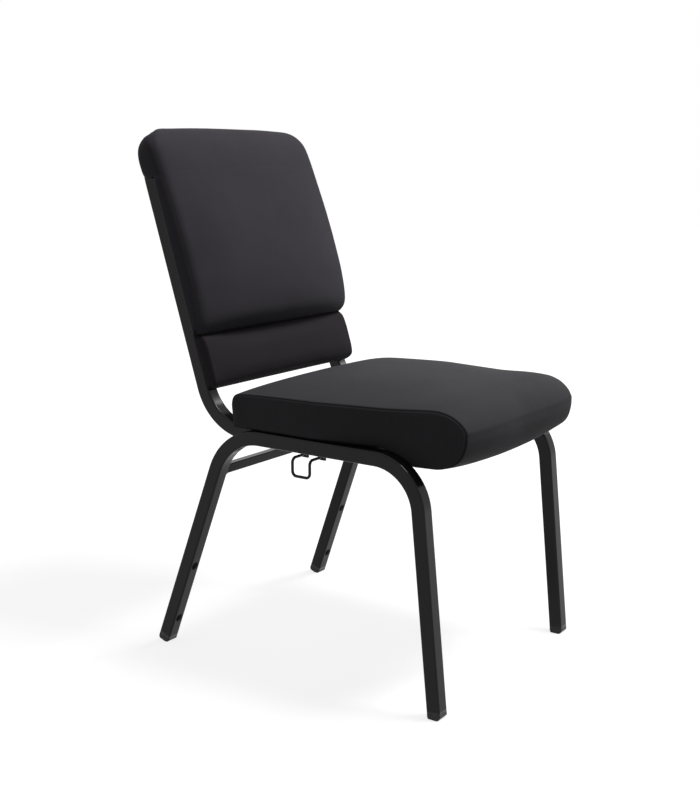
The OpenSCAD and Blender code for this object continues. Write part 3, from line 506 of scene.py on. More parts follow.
def boxedForm(name, profile, material, look, place):
    # profile(s) gives along, half, side, middle and what differs from plainStation, in mm
    fine = [{**plainStation, **profile(s)} for s in np.linspace(0, 1, sewing["samples"])]
    alongs = np.array([f["along"] for f in fine])
    lows = np.array([f["low"] for f in fine])
    highs = np.array([f["side"] for f in fine])
    step = np.maximum(np.hypot(np.diff(alongs), np.diff(lows)), np.hypot(np.diff(alongs), np.diff(highs)))
    run = np.concatenate([[0], np.cumsum(step)])
    count = int(run[-1] / look["step"]) + 1
    shares = np.interp(np.linspace(0, run[-1], count), run, np.linspace(0, 1, sewing["samples"]))
    stations = [{**plainStation, **profile(s)} for s in shares]
    capSteps = look["capSteps"]
    loop = [(i, 0.0) for i in range(count - 1, -1, -1)]
    loop += [(0, t / capSteps) for t in range(1, capSteps)]
    loop += [(i, 1.0) for i in range(count)]
    loop += [(count - 1, 1 - t / capSteps) for t in range(1, capSteps)]
    total = len(loop)
    edge = np.array([(st["along"], st["low"] + t * (st["side"] - st["low"]))
                     for st, t in ((stations[i], t) for i, t in loop)])
    heading = np.roll(edge, -1, axis=0) - np.roll(edge, 1, axis=0)
    heading /= np.maximum(np.linalg.norm(heading, axis=1), 1e-9)[:, None]
    away = np.stack([-heading[:, 1], heading[:, 0]], axis=1)
    away = away + np.roll(away, 1, axis=0) + np.roll(away, -1, axis=0)
    away /= np.maximum(np.linalg.norm(away, axis=1), 1e-9)[:, None]
    length = np.concatenate([[0], np.cumsum(np.linalg.norm(np.diff(edge, axis=0), axis=1))])

    radius, groove = look["edge"], look["groove"]
    seamAt = sewing["seamRound"] * radius
    nearEdge = [seamAt] + [seamAt + row for row in sewing["grooveRows"]]
    nearEdge += [radius * k for k in look["shoulder"]] + [radius + row for row in sewing["bandRows"]]
    inner = look["across"]
    verts, uvs, pins, seamNear, shades = [], [], [], [], []

    def addPoint(x, point, uv, fromSeam, s, pin):
        verts.append((x, point[0], point[1]))
        uvs.append(uv)
        seamNear.append(fromSeam)
        # painted shade: darkest on the seam line, fading out within shadeReach of it; valleyShade paints the
        # shade in the valleys between pads
        dark = look["seamDark"] * max(0.0, 1 - fromSeam / sewing["shadeReach"])
        shades.append(max(dark, look["valleyShade"](s)))
        pins.append(pin)
        return len(verts) - 1

    band = []
    for k, (i, t) in enumerate(loop):
        st, s = stations[i], shares[i]
        half = st["half"] - st["tuck"] * (1 - t) ** look["tuckPower"]
        power = 2 + t * look["fullness"]
        lowMiddle = st["low"] - st["sag"]
        middle = np.array([st["along"] - st["forward"], lowMiddle + t * (st["middle"] - lowMiddle)])
        columns = []
        insets = [min(e, half * 0.98) for e in nearEdge]
        last = insets[-1]
        insets += [last + (half - last) * c / inner for c in range(1, inner + 1)]
        both = [(-1, e) for e in insets] + [(1, e) for e in insets[-2::-1]]
        for sideSign, e in both:
            q = max(0.0, 1 - e / half)
            along = middle[0] + (edge[k][0] - middle[0]) * q ** sewing["middlePower"]
            level = middle[1] + (edge[k][1] - middle[1]) * q ** power
            point = np.array([along, level]) - away[k] * roundedDraw(e, radius)
            x = sideSign * (half - e)
            if e == insets[0]:
                point = point - away[k] * groove * sewing["grooveDraw"]
                x -= sideSign * groove * sewing["grooveDraw"]
            columns.append(addPoint(x, point, (x, length[k]), e - seamAt, s, look["pin"](s, t, e - seamAt)))
        band.append(columns)
    wide = len(band[0])
    faces = [(band[k][c], band[k][c + 1], band[(k + 1) % total][c + 1], band[(k + 1) % total][c])
             for k in range(total) for c in range(wide - 1)]

    # the side panels shrink from the seam to a line along their middle
    ends = edge[:, 0].min(), edge[:, 0].max()
    rings, firstShare, shareStep = sewing["sideRows"], sewing["sideShare"], sewing["sideShareStep"]
    for sideSign, column in ((-1, 0), (1, wide - 1)):
        previous = [band[k][column] for k in range(total)]
        spine = []
        for k, (i, t) in enumerate(loop):
            reach = min(stations[i]["side"] - stations[i]["low"], look["spineReach"]) / 2
            along = min(max(edge[k][0], ends[0] + reach), ends[1] - reach)
            spine.append((along, np.interp(along, alongs, (lows + highs) / 2)))
        rows = list(rings) + [None] * look["panelRings"]
        for r, depth in enumerate(rows):
            current = []
            for k, (i, t) in enumerate(loop):
                st, s = stations[i], shares[i]
                start = edge[k] - away[k] * seamAt
                toSpine = np.array(spine[k]) - start
                gap = max(np.linalg.norm(toSpine), 1e-6)
                if depth is not None:
                    share = min(depth / gap, firstShare + shareStep * r)
                else:
                    share = min(rings[-1] / gap, firstShare + shareStep * (len(rings) - 1))
                    share += (1 - share) * (r - len(rings) + 1) / look["panelRings"]
                point = start + toSpine * share
                fromSeam = share * gap
                raised = min(max((point[1] - st["low"]) / max(st["side"] - st["low"], 1), 0), 1)
                middleHalf = st["half"] - st["tuck"] * (1 - raised) ** look["tuckPower"]
                puff = look["puff"] * sin(pi / 2 * min(1.0, fromSeam / sewing["puffReach"]))
                x = sideSign * (middleHalf - roundedDraw(seamAt + fromSeam, radius) + puff)
                current.append(addPoint(x, point, tuple(point), fromSeam, s, look["pinSide"](s, fromSeam)))
            for k in range(total):
                n = (k + 1) % total
                quad = (previous[k], previous[n], current[n], current[k])
                faces.append(quad if sideSign < 0 else quad[::-1])
            previous = current
    points = np.array([place(*v) for v in verts])
    obj = newPiece(name, points * mm, faces, material)
    layer = obj.data.uv_layers.new(name="cloth")
    corners = np.array([loopItem.vertex_index for loopItem in obj.data.loops])
    layer.data.foreach_set("uv", (np.array(uvs)[corners] * mm).ravel())
    for label, values in (("pinned", pins), ("seamNear", np.array(seamNear) * mm), ("seamShade", shades)):
        attribute = obj.data.attributes.new(label, "FLOAT", "POINT")
        attribute.data.foreach_set("value", np.array(values, np.float32))
    outward(obj, near=2e-5, thin=1e-6)
    obj.data.polygons.foreach_set("use_smooth", [True] * len(obj.data.polygons))
    return obj


cloth = {"quality": 4, "mass": 0.25, "stretch": 25}


def settle(obj, filling):
    # the padding is an air pressure inside stretched cloth, held at its seams and its board
    rest = readArray(obj.data.vertices, "co")
    pinned = readArray(obj.data.attributes["pinned"].data, "value", 1)
    group = obj.vertex_groups.new(name="held")
    for i, weight in enumerate(pinned):
        group.add([i], float(weight), "REPLACE")
    padding = obj.modifiers.new("padding", "CLOTH")
    rules = padding.settings
    rules.quality = cloth["quality"]
    rules.mass = cloth["mass"]
    rules.tension_stiffness = rules.compression_stiffness = cloth["stretch"]
    rules.shear_stiffness = cloth["stretch"] / 2
    rules.bending_stiffness = filling["bend"]
    rules.shrink_min = filling["shrink"]
    rules.use_pressure = True
    rules.uniform_pressure_force = filling["pressure"]
    rules.vertex_group_mass = group.name
    rules.effector_weights.gravity = 0
    padding.point_cache.frame_start = 1
    padding.point_cache.frame_end = filling["frames"]
    for step in range(1, filling["frames"] + 1):
        scene.frame_set(step)
    settled = evaluatedMesh(obj)
    moved = readArray(settled.vertices, "co") - rest
    bpy.data.meshes.remove(settled)
    obj.modifiers.remove(padding)
    obj.vertex_groups.remove(group)
    scene.frame_set(1)
    far = np.linalg.norm(moved, axis=1)
    limit = filling["limit"] * mm
    moved *= np.minimum(1.0, limit / np.maximum(far, 1e-9))[:, None]
    # foam behind the cloth spreads its creases: each point takes up its neighbours' moves
    ends = np.zeros(len(obj.data.edges) * 2, int)
    obj.data.edges.foreach_get("vertices", ends)
    ends = ends.reshape(-1, 2)
    count = np.maximum(np.bincount(ends.ravel(), minlength=len(moved)), 1)[:, None]
    for _ in range(filling["spread"]):
        total = np.zeros_like(moved)
        np.add.at(total, ends[:, 0], moved[ends[:, 1]])
        np.add.at(total, ends[:, 1], moved[ends[:, 0]])
        moved = (moved + total / count) / 2 * (1 - pinned)[:, None]
    print(obj.name, "settled, largest move", round(float(far.max()) * 1000, 1), "mm, mean",
          round(float(far.mean()) * 1000, 2))
    obj.data.vertices.foreach_set("co", (rest + moved).ravel())
    obj.data.update()


gather = {"start": 2.5, "patches": (0.11, 0.047), "slowReach": 0.03}  # mm, then metres along the seam


def puckers(obj, folds):
    # small gathers that run off the seams, as the needle draws the cloth up
    co, normal = readArray(obj.data.vertices, "co"), readArray(obj.data.vertex_normals, "vector")
    near = readArray(obj.data.attributes["seamNear"].data, "value", 1)
    rng = random.Random(folds["seed"])
    waves = [(rng.uniform(0.7, 1.3), rng.uniform(0, 6.28)) for _ in range(5)]
    fade = np.exp(-np.maximum(near, 0) / (folds["reach"] * mm)) * np.clip(near / (gather["start"] * mm), 0, 1)
    along = co[:, 0] * 0.35 + co[:, 1] + co[:, 2] * 0.8
    wave = sum(np.sin(along * fullTurn / (folds["pitch"] * mm) * rate + phase) for rate, phase in waves) / 2.5
    long, short = gather["patches"]
    patch = 0.5 + 0.5 * np.sin(along * fullTurn / long + 1.3) * np.sin(along * fullTurn / short + 0.4)
    co += normal * (wave * fade * patch * folds["height"] * mm)[:, None]
    # broad, slow unevenness of foam under cloth
    x, y, z = co[:, 0], co[:, 1], co[:, 2]
    slow = np.sin(x * 31 + 0.8) * np.sin(y * 27 + 2.1) + np.sin(x * 17 - y * 23 + z * 29)
    co += normal * (slow * np.clip(near / gather["slowReach"], 0, 1) * folds["uneven"] * mm)[:, None]
    obj.data.vertices.foreach_set("co", co.ravel())
    obj.data.update()


def smoothOut(obj, levels=1):
    smoother = obj.modifiers.new("smooth", "SUBSURF")
    smoother.levels = smoother.render_levels = levels
    mesh = evaluatedMesh(obj)
    obj.modifiers.remove(smoother)
    old = obj.data
    obj.data = mesh
    mesh.name = obj.name
    bpy.data.meshes.remove(old)
    for label in ("pinned", "seamNear"):
        if label in mesh.attributes:
            mesh.attributes.remove(mesh.attributes[label])


def fillCushion(obj, filling):
    settle(obj, filling)
    puckers(obj, filling)
    smoothOut(obj)


# ---- the seat
seat = {"width": 472, "depth": 442.5, "overhang": 57, "thickness": 70, "noseDrop": 25, "noseBulge": 8,
        "noseSag": 10, "crown": 15, "taper": 45, "tuck": 5, "taperShare": 0.6, "rollShare": 0.22,
        "boardFrom": 0.33}
seatStations = [  # share of depth, low and high level along the side seams, share of the crown
    (0, 0.33, 0.55, 0), (0.006, 0.15, 0.62, 0.05), (0.0143, 0.007, 0.7, 0.1), (0.035, -0.45, 0.82, 0.35),
    (0.071, -0.8, 0.94, 0.6), (0.12, -1, 1, 0.85), (0.2, -1, 0.98, 1), (0.245, -0.85, 0.963, 1),
    (0.28, -0.52, 0.955, 1), (0.305, -0.18, 0.948, 1), (0.328, 0, 0.945, 1), (0.48, 0, 0.943, 1),
    (0.61, 0, 0.938, 1), (0.84, 0, 0.912, 0.78), (0.94, 0, 0.887, 0.5), (0.98, 0, 0.85, 0.28),
    (0.994, 0, 0.76, 0.2), (1, 0, 0.6, 0.1)]
seatBase = sizes["railHeight"] + sizes["fit"]
seatLows = [(row[0], row[1] * (seat["noseDrop"] if row[1] < 0 else seat["thickness"]))
            for row in seatStations]
seatLowLine = stationLine(seatLows, 1)
seatHighLine = stationLine(seatStations, 2, seat["thickness"])
seatCrownLine = stationLine(seatStations, 3)


def seatProfile(s):
    low, high = float(seatLowLine(s)), float(seatHighLine(s))
    forward = seat["noseBulge"] * max(0, 1 - s / seat["rollShare"])
    taper = seat["taper"] * max(0, 1 - s / seat["taperShare"])
    return {
        "along": s * seat["depth"] - seat["overhang"], "half": seat["width"] / 2 - taper,
        "tuck": seat["tuck"] * min(1, max(0, s / seat["taperShare"])),
        "low": seatBase + low, "side": seatBase + high,
        "middle": seatBase + high + float(seatCrownLine(s)) * seat["crown"],
        "sag": seat["noseSag"] * max(0, -low / seat["noseDrop"]), "forward": forward}


def seatPin(s, t, fromSeam):
    onBoard = t < 0.5 and s > seat["boardFrom"]
    return 1.0 if onBoard else heldNear(fromSeam, 3, 9, 0.8)


# seamDark sets how deep the painted shade along the seat's seam groove goes
seatLook = {**plainLook, "step": 6.5, "capSteps": 4, "edge": 5.0, "groove": 1.3, "across": 30,
            "fullness": 2.0, "seamDark": 0.95, "spineReach": 70, "panelRings": 4, "puff": 1.0,
            "pin": seatPin, "pinSide": lambda s, fromSeam: heldNear(fromSeam, 3, 6, 0.8)}
seatFilling = {"pressure": 4.0, "frames": 16, "bend": 2.0, "shrink": -0.003, "limit": 9, "spread": 30,
               "seed": 4, "pitch": 15, "reach": 8, "height": 0.22, "uneven": 0.2}
seatCushion = boxedForm("seatCushion", seatProfile, seatCloth, seatLook,
                        lambda x, a, z: (x, a - sizes["middleY"], z))
fillCushion(seatCushion, seatFilling)
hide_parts("seat_cover", "seat_foam")
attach(seatCushion, "chair")
print("seat cushion made")

# ---- the back cushion with its hood over the top of the frame
back = {"lumbar": 61, "length": 382, "hood": 90, "hoodPad": 20, "hoodSkin": 3.5, "round": 46,
        "overhang": 12.5, "arch": 1.5, "bottomDraw": 3, "bottomRate": 30, "hoodTuck": 9,
        "hoodTuckTop": 5, "tuckShare": 0.6, "hemDraw": 3.4, "hemReach": 14, "tuckFrom": 8, "tuckRamp": 4,
        "rearRound": 64, "bottomHeld": 0.004, "bottomDark": 0.006}
backTop = sizes["backRise"] + halfTube + back["hoodPad"]
backBottom = backTop - back["length"]
backHalf = backAxis + halfTube + back["overhang"]
hoodBottom = backTop - back["hood"]
hoodDepth = sizes["tube"] + back["hoodSkin"]
backStations = [  # share of the height below the hood, side and middle share of the lumbar's thickness
    (0, 0.215, 0.3), (0.011, 0.33, 0.52), (0.038, 0.46, 0.79), (0.094, 0.57, 0.96), (0.21, 0.66, 1.03),
    (0.34, 0.7, 1.05), (0.5, 0.7, 1.03), (0.7, 0.67, 0.96), (0.87, 0.615, 0.87), (0.985, 0.575, 0.806)]
hoodStations = [  # share of the hood, side and middle share, share of the depth behind the tube's front
    (0.004, 0.569, 0.797, 0.9), (0.16, 0.55, 0.77, 0.98), (0.6, 0.45, 0.65, 1), (0.74, 0.38, 0.56, 0.97),
    (0.8, 0.345, 0.52, 0.89), (0.9, 0.25, 0.42, 0.54), (0.965, 0.14, 0.29, 0.18), (1, 0.03, 0.15, -0.02)]
backRows = [(backBottom + s * (back["length"] - back["hood"]), side, mid, sizes["fit"])
            for s, side, mid in backStations]
backRows += [(hoodBottom + s * back["hood"], side, mid, -rear * hoodDepth)
             for s, side, mid, rear in hoodStations]
backSideLine = stationLine(backRows, 1, back["lumbar"])
backMiddleLine = stationLine(backRows, 2, back["lumbar"])
backRearLine = stationLine(backRows, 3)


def backProfile(s):
    height = backBottom + s * back["length"]
    corner = roundedDraw(backTop - height, back["round"])
    half = backHalf - corner - back["bottomDraw"] * max(0, 1 - s * back["bottomRate"])
    # the hood's rear is drawn in until it hugs the tube at its hem
    aboveHem = height - hoodBottom
    lowness = max(0, 1 - max(0, aboveHem / back["hood"]) / back["tuckShare"])
    tuck = back["hoodTuckTop"] + (back["hoodTuck"] - back["hoodTuckTop"]) * lowness
    tuck += back["hemDraw"] * max(0, 1 - max(0, aboveHem) / back["hemReach"]) ** 2
    tuck *= min(1, max(0, (aboveHem + back["tuckFrom"]) / back["tuckRamp"]))
    # and it follows the wide corner of the tube
    tuck += roundedDraw(backTop - height, back["rearRound"]) - corner
    return {"along": height, "half": half, "tuck": tuck, "low": float(backRearLine(height)),
            "side": float(backSideLine(height)), "middle": float(backMiddleLine(height))}


def backPlace(x, height, depth):
    half = backProfile(min(max((height - backBottom) / back["length"], 0), 1))["half"]
    rise = back["arch"] * max(0, (height - hoodBottom) / back["hood"])
    return onBack(x, halfTube + depth, height - rise * (x / half) ** 2)


def backPin(s, t, fromSeam):
    return 1.0 if t < 0.5 or s < back["bottomHeld"] else heldNear(fromSeam, 2, 10, 0.9)


# painted shade: valleyShade darkens the cushion's bottom edge, in the valley where it meets the lower pad
backLook = {**plainLook, "step": 6.5, "capSteps": 4, "edge": 15.0, "groove": 0.25, "across": 30,
            "shoulder": (0.62, 0.8), "tuckPower": 2, "spineReach": 28, "panelRings": 3, "puff": 0.5,
            "valleyShade": lambda s: 0.9 if s < back["bottomDark"] else 0.0, "pin": backPin,
            "pinSide": lambda s, fromSeam: heldNear(fromSeam, 3, 6)}
backFilling = {"pressure": 3.5, "frames": 16, "bend": 2.5, "shrink": -0.003, "limit": 8, "spread": 16,
               "seed": 9, "pitch": 19, "reach": 8, "height": 0.15, "uneven": 0.25}
backCushion = boxedForm("backCushion", backProfile, backCloth, backLook, backPlace)
fillCushion(backCushion, backFilling)
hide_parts("back_cover", "back_foam")
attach(backCushion, "chair")
print("back cushion made")

# ---- the lower back panel
lower = {"length": 100.5, "thickness": 25, "round": 7, "gap": -3, "proud": 2, "topHeld": 0.94, "topDark": 0.95}
lowerTop = backBottom - lower["gap"]
lowerBottom = lowerTop - lower["length"]
lowerHalf = backAxis + halfTube + lower["proud"]
lowerStations = [(0, 0.3, 0.35), (0.03, 0.6, 0.62), (0.1, 0.9, 0.92), (0.3, 1, 1.05), (0.6, 1, 1.08),
                 (0.84, 0.92, 1), (0.925, 0.78, 0.87), (0.962, 0.64, 0.7), (1, 0.51, 0.55)]
lowerSideLine = stationLine(lowerStations, 1, lower["thickness"])
lowerMiddleLine = stationLine(lowerStations, 2, lower["thickness"])


def lowerProfile(s):
    return {"along": lowerBottom + s * lower["length"],
            "half": lowerHalf - roundedDraw(s * lower["length"], lower["round"]), "low": sizes["fit"],
            "side": float(lowerSideLine(s)), "middle": float(lowerMiddleLine(s))}


# painted shade: valleyShade darkens the pad's top edge, in the valley under the back cushion
lowerLook = {**plainLook, "step": 5.0, "edge": 4.5, "groove": 0.3, "across": 26, "spineReach": 20,
             "panelRings": 2, "puff": 0.2, "valleyShade": lambda s: 0.9 if s > lower["topDark"] else 0.0,
             "pin": lambda s, t, fromSeam: 1.0 if s > lower["topHeld"] else backPin(0.5, t, fromSeam)}
lowerFilling = {"pressure": 2.5, "frames": 12, "bend": 2.5, "shrink": -0.002, "limit": 3, "spread": 8,
                "seed": 12, "pitch": 17, "reach": 7, "height": 0.15, "uneven": 0.15}
lowerPad = boxedForm("lowerBackPad", lowerProfile, lowerCloth, lowerLook,
                     lambda x, height, depth: onBack(x, halfTube + depth, height))
fillCushion(lowerPad, lowerFilling)
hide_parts("lower_back_cover", "lower_back_foam")
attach(lowerPad, "chair")
print("lower back pad made")

# ---- the outer back panel, wrapped in cloth, between the uprights and up into the hood
outer = {"thickness": 7, "crown": 1.2, "edge": 2.2, "hem": 1, "lowRound": 4, "sideDrop": 1.2,
         "middleDrop": 0.2, "crownRise": 30, "crownFall": (40, 80)}
outerHalf = backAxis - halfTube - sizes["fit"]
outerRadius = sizes["backCorner"] - halfTube - sizes["fit"]
outerLow = bendTangent + outer["thickness"]
outerTop = sizes["backRise"] - halfTube - sizes["fit"]
outerFront = outer["thickness"] + outer["hem"] - halfTube


def outerProfile(s):
    height = outerLow + s * (outerTop - outerLow)
    draw = roundedDraw(outerTop - height, outerRadius) + roundedDraw(height - outerLow, outer["lowRound"])
    into, fall = outer["crownFall"]
    rise = (height - outerLow) / outer["crownRise"]
    crown = outer["crown"] * min(1, rise, (hoodBottom + into - height) / fall)
    return {"along": height, "half": outerHalf - draw, "side": outer["thickness"] - outer["sideDrop"],
            "middle": outer["thickness"] - outer["middleDrop"] + max(0, crown)}


outerLook = {**plainLook, "step": 7.0, "edge": outer["edge"], "groove": 0.1, "across": 22, "fullness": 3.0,
             "spineReach": 6, "panelRings": 1, "puff": 0.0, "pin": backPin}
outerFilling = {"pressure": 1.5, "frames": 8, "bend": 3.0, "shrink": -0.001, "limit": 0.8, "spread": 4,
                "seed": 21, "pitch": 23, "reach": 6, "height": 0.08, "uneven": 0.12}
outerPanel = boxedForm("outerBackPanel", outerProfile, panelCloth, outerLook,
                       lambda x, height, depth: onBack(x, outerFront - depth, height))
fillCushion(outerPanel, outerFilling)
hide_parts("outer_back_panel")
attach(outerPanel, "chair")
print("outer back panel made")

# ---- the dust cloth stapled under the seat: taut, dipping a little between its staples
dust = {"halfWidth": 175.7, "front": -187.6, "rear": 66.8, "level": 428.4, "dip": 0.12, "step": 7,
        "staplePitch": 28, "stapleInset": 6, "lift": 0.5, "web": 0.4, "rippleFade": 12, "edgeFade": 3}
dustColumns = int(2 * dust["halfWidth"] / dust["step"])
dustRows = int((dust["rear"] - dust["front"]) / dust["step"])
dustVerts = []
for row in range(dustRows + 1):
    for column in range(dustColumns + 1):
        x = dust["halfWidth"] * (2 * column / dustColumns - 1)
        y = dust["front"] + (dust["rear"] - dust["front"]) * row / dustRows
        inside = min(dust["halfWidth"] - abs(x), y - dust["front"], dust["rear"] - y)
        ripple = sin(fullTurn * (x + y) / dust["staplePitch"]) * exp(-inside / dust["rippleFade"])
        sag = dust["dip"] * (1 + ripple) * min(1, inside / dust["edgeFade"])
        dustVerts.append((x * mm, y * mm, (dust["level"] + dust["lift"] - sag) * mm))
wideRow = dustColumns + 1
dustFaces = [(r * wideRow + c, (r + 1) * wideRow + c, (r + 1) * wideRow + c + 1, r * wideRow + c + 1)
             for r in range(dustRows) for c in range(dustColumns)]
dustSheet = newPiece("dustSheet", dustVerts, dustFaces, dustFinish)
thicken = dustSheet.modifiers.new("web", "SOLIDIFY")
thicken.thickness = dust["web"] * mm
thicken.offset = 0
dustMesh = evaluatedMesh(dustSheet)
dustSheet.modifiers.remove(thicken)
dustSheet.data = dustMesh
outward(dustSheet)
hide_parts("seat_dust_cover")
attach(dustSheet, "chair")
print("dust cloth made")


# ---- weld beads and staples: one small piece repeated along lines
def repeatTree(name):
    tree = bpy.data.node_groups.new(name, "GeometryNodeTree")
    sockets = {}
    tree.interface.new_socket(name="Geometry", in_out="INPUT", socket_type="NodeSocketGeometry")
    for label, kind in (("Piece", "Object"), ("Pitch", "Float"), ("Unevenness", "Float"), ("Seed", "Int"),
                        ("Finish", "Material")):
        sockets[label] = tree.interface.new_socket(
            name=label, in_out="INPUT", socket_type="NodeSocket" + kind)
    tree.interface.new_socket(name="Geometry", in_out="OUTPUT", socket_type="NodeSocketGeometry")
    given = addNode(tree, "NodeGroupInput")
    line = addNode(tree, "GeometryNodeMeshToCurve", {"Mesh": given.outputs["Geometry"]})
    places = addNode(tree, "GeometryNodeCurveToPoints", {
        "Curve": line, "Length": given.outputs["Pitch"]}, mode="LENGTH")
    piece = addNode(tree, "GeometryNodeObjectInfo", {"Object": given.outputs["Piece"]})
    least = addNode(tree, "Math", {0: 1.0, 1: given.outputs["Unevenness"]}, operation="SUBTRACT")
    most = addNode(tree, "Math", {0: 1.0, 1: given.outputs["Unevenness"]}, operation="ADD")
    size = addNode(tree, "FunctionNodeRandomValue", {
        2: least, 3: most, "Seed": given.outputs["Seed"]}, data_type="FLOAT")
    copies = addNode(tree, "GeometryNodeInstanceOnPoints", {
        "Points": places, "Instance": piece.outputs["Geometry"],
        "Rotation": places.outputs["Rotation"], "Scale": size.outputs[1]})
    solid = addNode(tree, "GeometryNodeRealizeInstances", {"Geometry": copies})
    dressed = addNode(tree, "GeometryNodeSetMaterial", {
        "Geometry": solid, "Material": given.outputs["Finish"]})
    addNode(tree, "NodeGroupOutput", {"Geometry": dressed})
    return tree, {label: socket.identifier for label, socket in sockets.items()}


def roundBar(name, radius, length, material, sides=8, rings=3):
    # a bar along z with domed ends; a short one is a bead
    verts, faces = [(0, 0, -length / 2)], []
    for i in range(1, 2 * rings + 1):
        a = pi * i / (2 * rings + 1)
        end = (length / 2 - radius) * (1 if i > rings else -1)
        for k in range(sides):
            b = 2 * pi * k / sides
            verts.append((radius * sin(a) * cos(b), radius * sin(a) * sin(b), end - radius * cos(a)))
    verts.append((0, 0, length / 2))
    last = len(verts) - 1 - sides
    for i in range(2 * rings - 1):
        faces += ringFaces(1 + i * sides, 1 + (i + 1) * sides, sides)
    for k in range(sides):
        n = (k + 1) % sides
        faces += [(0, 1 + n, 1 + k), (last + k, last + n, len(verts) - 1)]
    return newPiece(name, np.array(verts) * mm, faces, material)


repeated, repeatedInputs = repeatTree("setAlongLine")


def setAlong(name, lines, piece, pitch, unevenness, seed, finish):
    verts, edges = [], []
    for line in lines:
        edges += [(len(verts) + i, len(verts) + i + 1) for i in range(len(line) - 1)]
        verts += [tuple(v * mm for v in point) for point in line]
    mesh = bpy.data.meshes.new(name)
    mesh.from_pydata(verts, edges, [])
    obj = bpy.data.objects.new(name, mesh)
    scene.collection.objects.link(obj)
    maker = obj.modifiers.new("along", "NODES")
    maker.node_group = repeated
    for label, value in (("Piece", piece), ("Pitch", pitch * mm), ("Unevenness", unevenness), ("Seed", seed),
                         ("Finish", finish)):
        maker[repeatedInputs[label]] = value
    made = evaluatedMesh(obj)
    obj.modifiers.remove(maker)
    obj.data = made
    bpy.data.objects.remove(piece)
    return outward(obj)


def bothSides(lines):
    return lines + [[(-x, y, z) for x, y, z in line] for line in lines]


weld = {"bead": 1.9, "beadLength": 4.6, "pitch": 1.7, "uneven": 0.16, "inSeam": 0.9,
        "tacks": ((-150, -122), (-16, 12), (14, 40))}
railUnder, runInner, runOuter = sizes["railHeight"] - sizes["tube"], backAxis - halfTube, backAxis + halfTube
weldLines = [[(runOuter, a, railUnder + weld["inSeam"]), (runOuter, b, railUnder + weld["inSeam"])]
             for a, b in weld["tacks"]]
for nodeName, face in (("front_seat_support", runOuter), ("rear_seat_support", runInner),
                       ("rear_leg_brace", None)):
    lowest, highest = [np.array(corner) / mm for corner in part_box(nodeName)]
    at = (highest[0] if face is None else face) - 0.6
    front, rear, bottom, top = lowest[1] - 0.2, highest[1] + 0.2, lowest[2] - 0.2, highest[2] + 0.2
    square = [(at, front, top - 2), (at, front, bottom + 2), (at, front + 2, bottom), (at, rear - 2, bottom),
              (at, rear, bottom + 2), (at, rear, top - 2)]
    if face is None:
        square += [(at, rear - 2, top), (at, front + 2, top), square[0]]
    weldLines.append(square)
weldLines = bothSides(weldLines)
guideLow, guideHigh = [np.array(corner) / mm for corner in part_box("ganging_guide")]
for y in (guideLow[1] - 0.4, guideHigh[1] + 0.4):
    weldLines.append([(-runOuter + 3, y, railUnder - 0.5), (-runInner - 2, y, railUnder - 0.5)])
loopLow, loopHigh = [np.array(corner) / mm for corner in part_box("ganging_loop")]
for y in (loopLow[1] - 0.3, loopLow[1] + 5.3, loopHigh[1] - 5.3, loopHigh[1] + 0.3):
    weldLines.append([(backAxis + 3, y, railUnder - 1), (runOuter + 14, y, railUnder - 1)])
bead = roundBar("bead", weld["bead"], weld["beadLength"], frameFinish)
weldBeads = setAlong("weldBeads", weldLines, bead, weld["pitch"], weld["uneven"], 5, frameFinish)
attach(weldBeads, "chair")

staple = {"wire": 0.55, "length": 10, "uneven": 0.03}
inset = dust["stapleInset"]
stapleLevel = dust["level"] - 0.1
side, frontRow, rearRow = dust["halfWidth"] - inset, dust["front"] + inset, dust["rear"] - inset
frontSupport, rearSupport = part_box("front_seat_support"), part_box("rear_seat_support")
stapleLines = [[(-side, y, stapleLevel), (side, y, stapleLevel)] for y in (frontRow, rearRow)]
stapleLines += bothSides([[(side, a, stapleLevel), (side, b, stapleLevel)] for a, b in (
    (frontSupport[1][1] / mm + 10, rearSupport[0][1] / mm - 10), (rearSupport[1][1] / mm + 6, rearRow - 8))])
bar = roundBar("staple", staple["wire"], staple["length"], nutSteel)
staples = setAlong("dustStaples", stapleLines, bar, dust["staplePitch"], staple["uneven"], 7, nutSteel)
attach(staples, "chair")
print("weld beads and staples made")

# ---- what stays as the CAD has it
cadFinishes = (
    (frameFinish, ("rear_leg_brace", "front_seat_support", "rear_seat_support", "ganging_guide")),
    (wireSteel, ("ganging_hook", "ganging_loop")),
    (bumperRubber, ("stack_bumpers",)),
    (plywood, ("seat_board", "back_board")),
    (boltSteel, ("seat_bolts", "back_bolts")),
    (nutSteel, ("seat_tee_nuts", "back_tee_nuts")),
    (glidePlastic, ("right_front_glide", "left_front_glide", "right_rear_glide", "left_rear_glide")))
for finish, nodeNames in cadFinishes:
    for nodeName in nodeNames:
        mesh = nodes[nodeName].data
        if not mesh.materials:
            mesh.materials.append(finish)
        for i in range(len(mesh.materials)):
            mesh.materials[i] = finish
print("finishes given to", sum(len(row[1]) for row in cadFinishes), "CAD nodes")

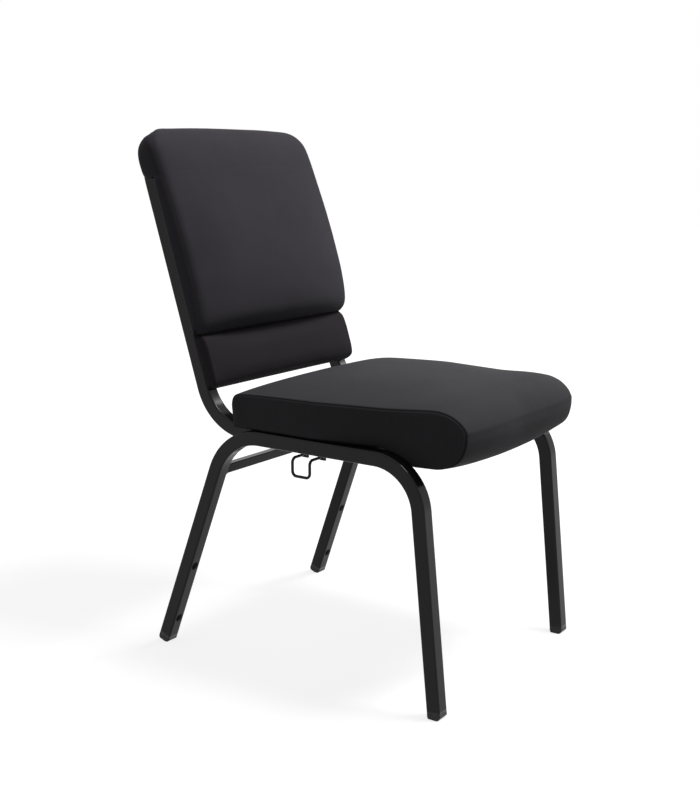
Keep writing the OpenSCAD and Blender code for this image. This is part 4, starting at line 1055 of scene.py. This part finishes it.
# ---- floor, world and lamps
studio = {"floorSize": 14, "ambient": 0.2, "key": 94, "top": 5, "strip": 18, "bounce": 0.34,
          "nearGlow": 0.82, "farGlow": 1.0, "near": 0.6, "far": 2.2}
floorMesh = bpy.data.meshes.new("studioFloor")
edgeAt = studio["floorSize"]
floorMesh.from_pydata([(x * edgeAt, y * edgeAt, 0) for x, y in ((-1, -1), (1, -1), (1, 1), (-1, 1))],
                      [], [(0, 1, 2, 3)])
floor = bpy.data.objects.new("studioFloor", floorMesh)
scene.collection.objects.link(floor)
floorPaint = bpy.data.materials.new("studioFloor")
tree = emptyTree(floorPaint)
matt = addNode(tree, "BsdfDiffuse", {"Color": (studio["bounce"],) * 3 + (1,)})
fromMiddle = addNode(tree, "VectorMath", {0: objectPoint(tree)}, operation="LENGTH")
lift = addNode(tree, "MapRange", {
    "Value": fromMiddle.outputs["Value"], "From Min": studio["near"], "From Max": studio["far"],
    "To Min": studio["nearGlow"], "To Max": studio["farGlow"]}, interpolation_type="SMOOTHSTEP")
glow = addNode(tree, "Emission", {"Color": white, "Strength": lift})
both = addNode(tree, "AddShader", {0: matt, 1: glow})
choice = addNode(tree, "MixShader", {0: seenDirectly(tree), 1: matt, 2: both})
addNode(tree, "OutputMaterial", {"Surface": choice})
floorMesh.materials.append(floorPaint)

world = bpy.data.worlds.new("studioWorld")
scene.world = world
tree = emptyTree(world)
dim = addNode(tree, "Background", {"Color": white, "Strength": studio["ambient"]})
bright = addNode(tree, "Background", {"Color": white, "Strength": 1.0})
choice = addNode(tree, "MixShader", {0: seenDirectly(tree), 1: dim, 2: bright})
addNode(tree, "OutputWorld", {"Surface": choice})


def softbox(name, place, target, size, power):
    data = bpy.data.lights.new(name, "AREA")
    data.shape = "RECTANGLE"
    data.size, data.size_y = size
    data.energy = power
    lamp = bpy.data.objects.new(name, data)
    lamp.location = place
    lamp.rotation_euler = (Vector(target) - Vector(place)).to_track_quat("-Z", "Y").to_euler()
    scene.collection.objects.link(lamp)


softbox("keyBox", (0.75, -1.3, 3.5), (0, 0, 0.5), (1.2, 0.8), studio["key"])
softbox("topBox", (0.0, 0.4, 3.4), (0, 0, 0.4), (2.0, 2.0), studio["top"])
softbox("stripBox", (2.5, -1.0, 1.9), (0, 0, 0.5), (0.35, 1.5), studio["strip"])
print("studio set")
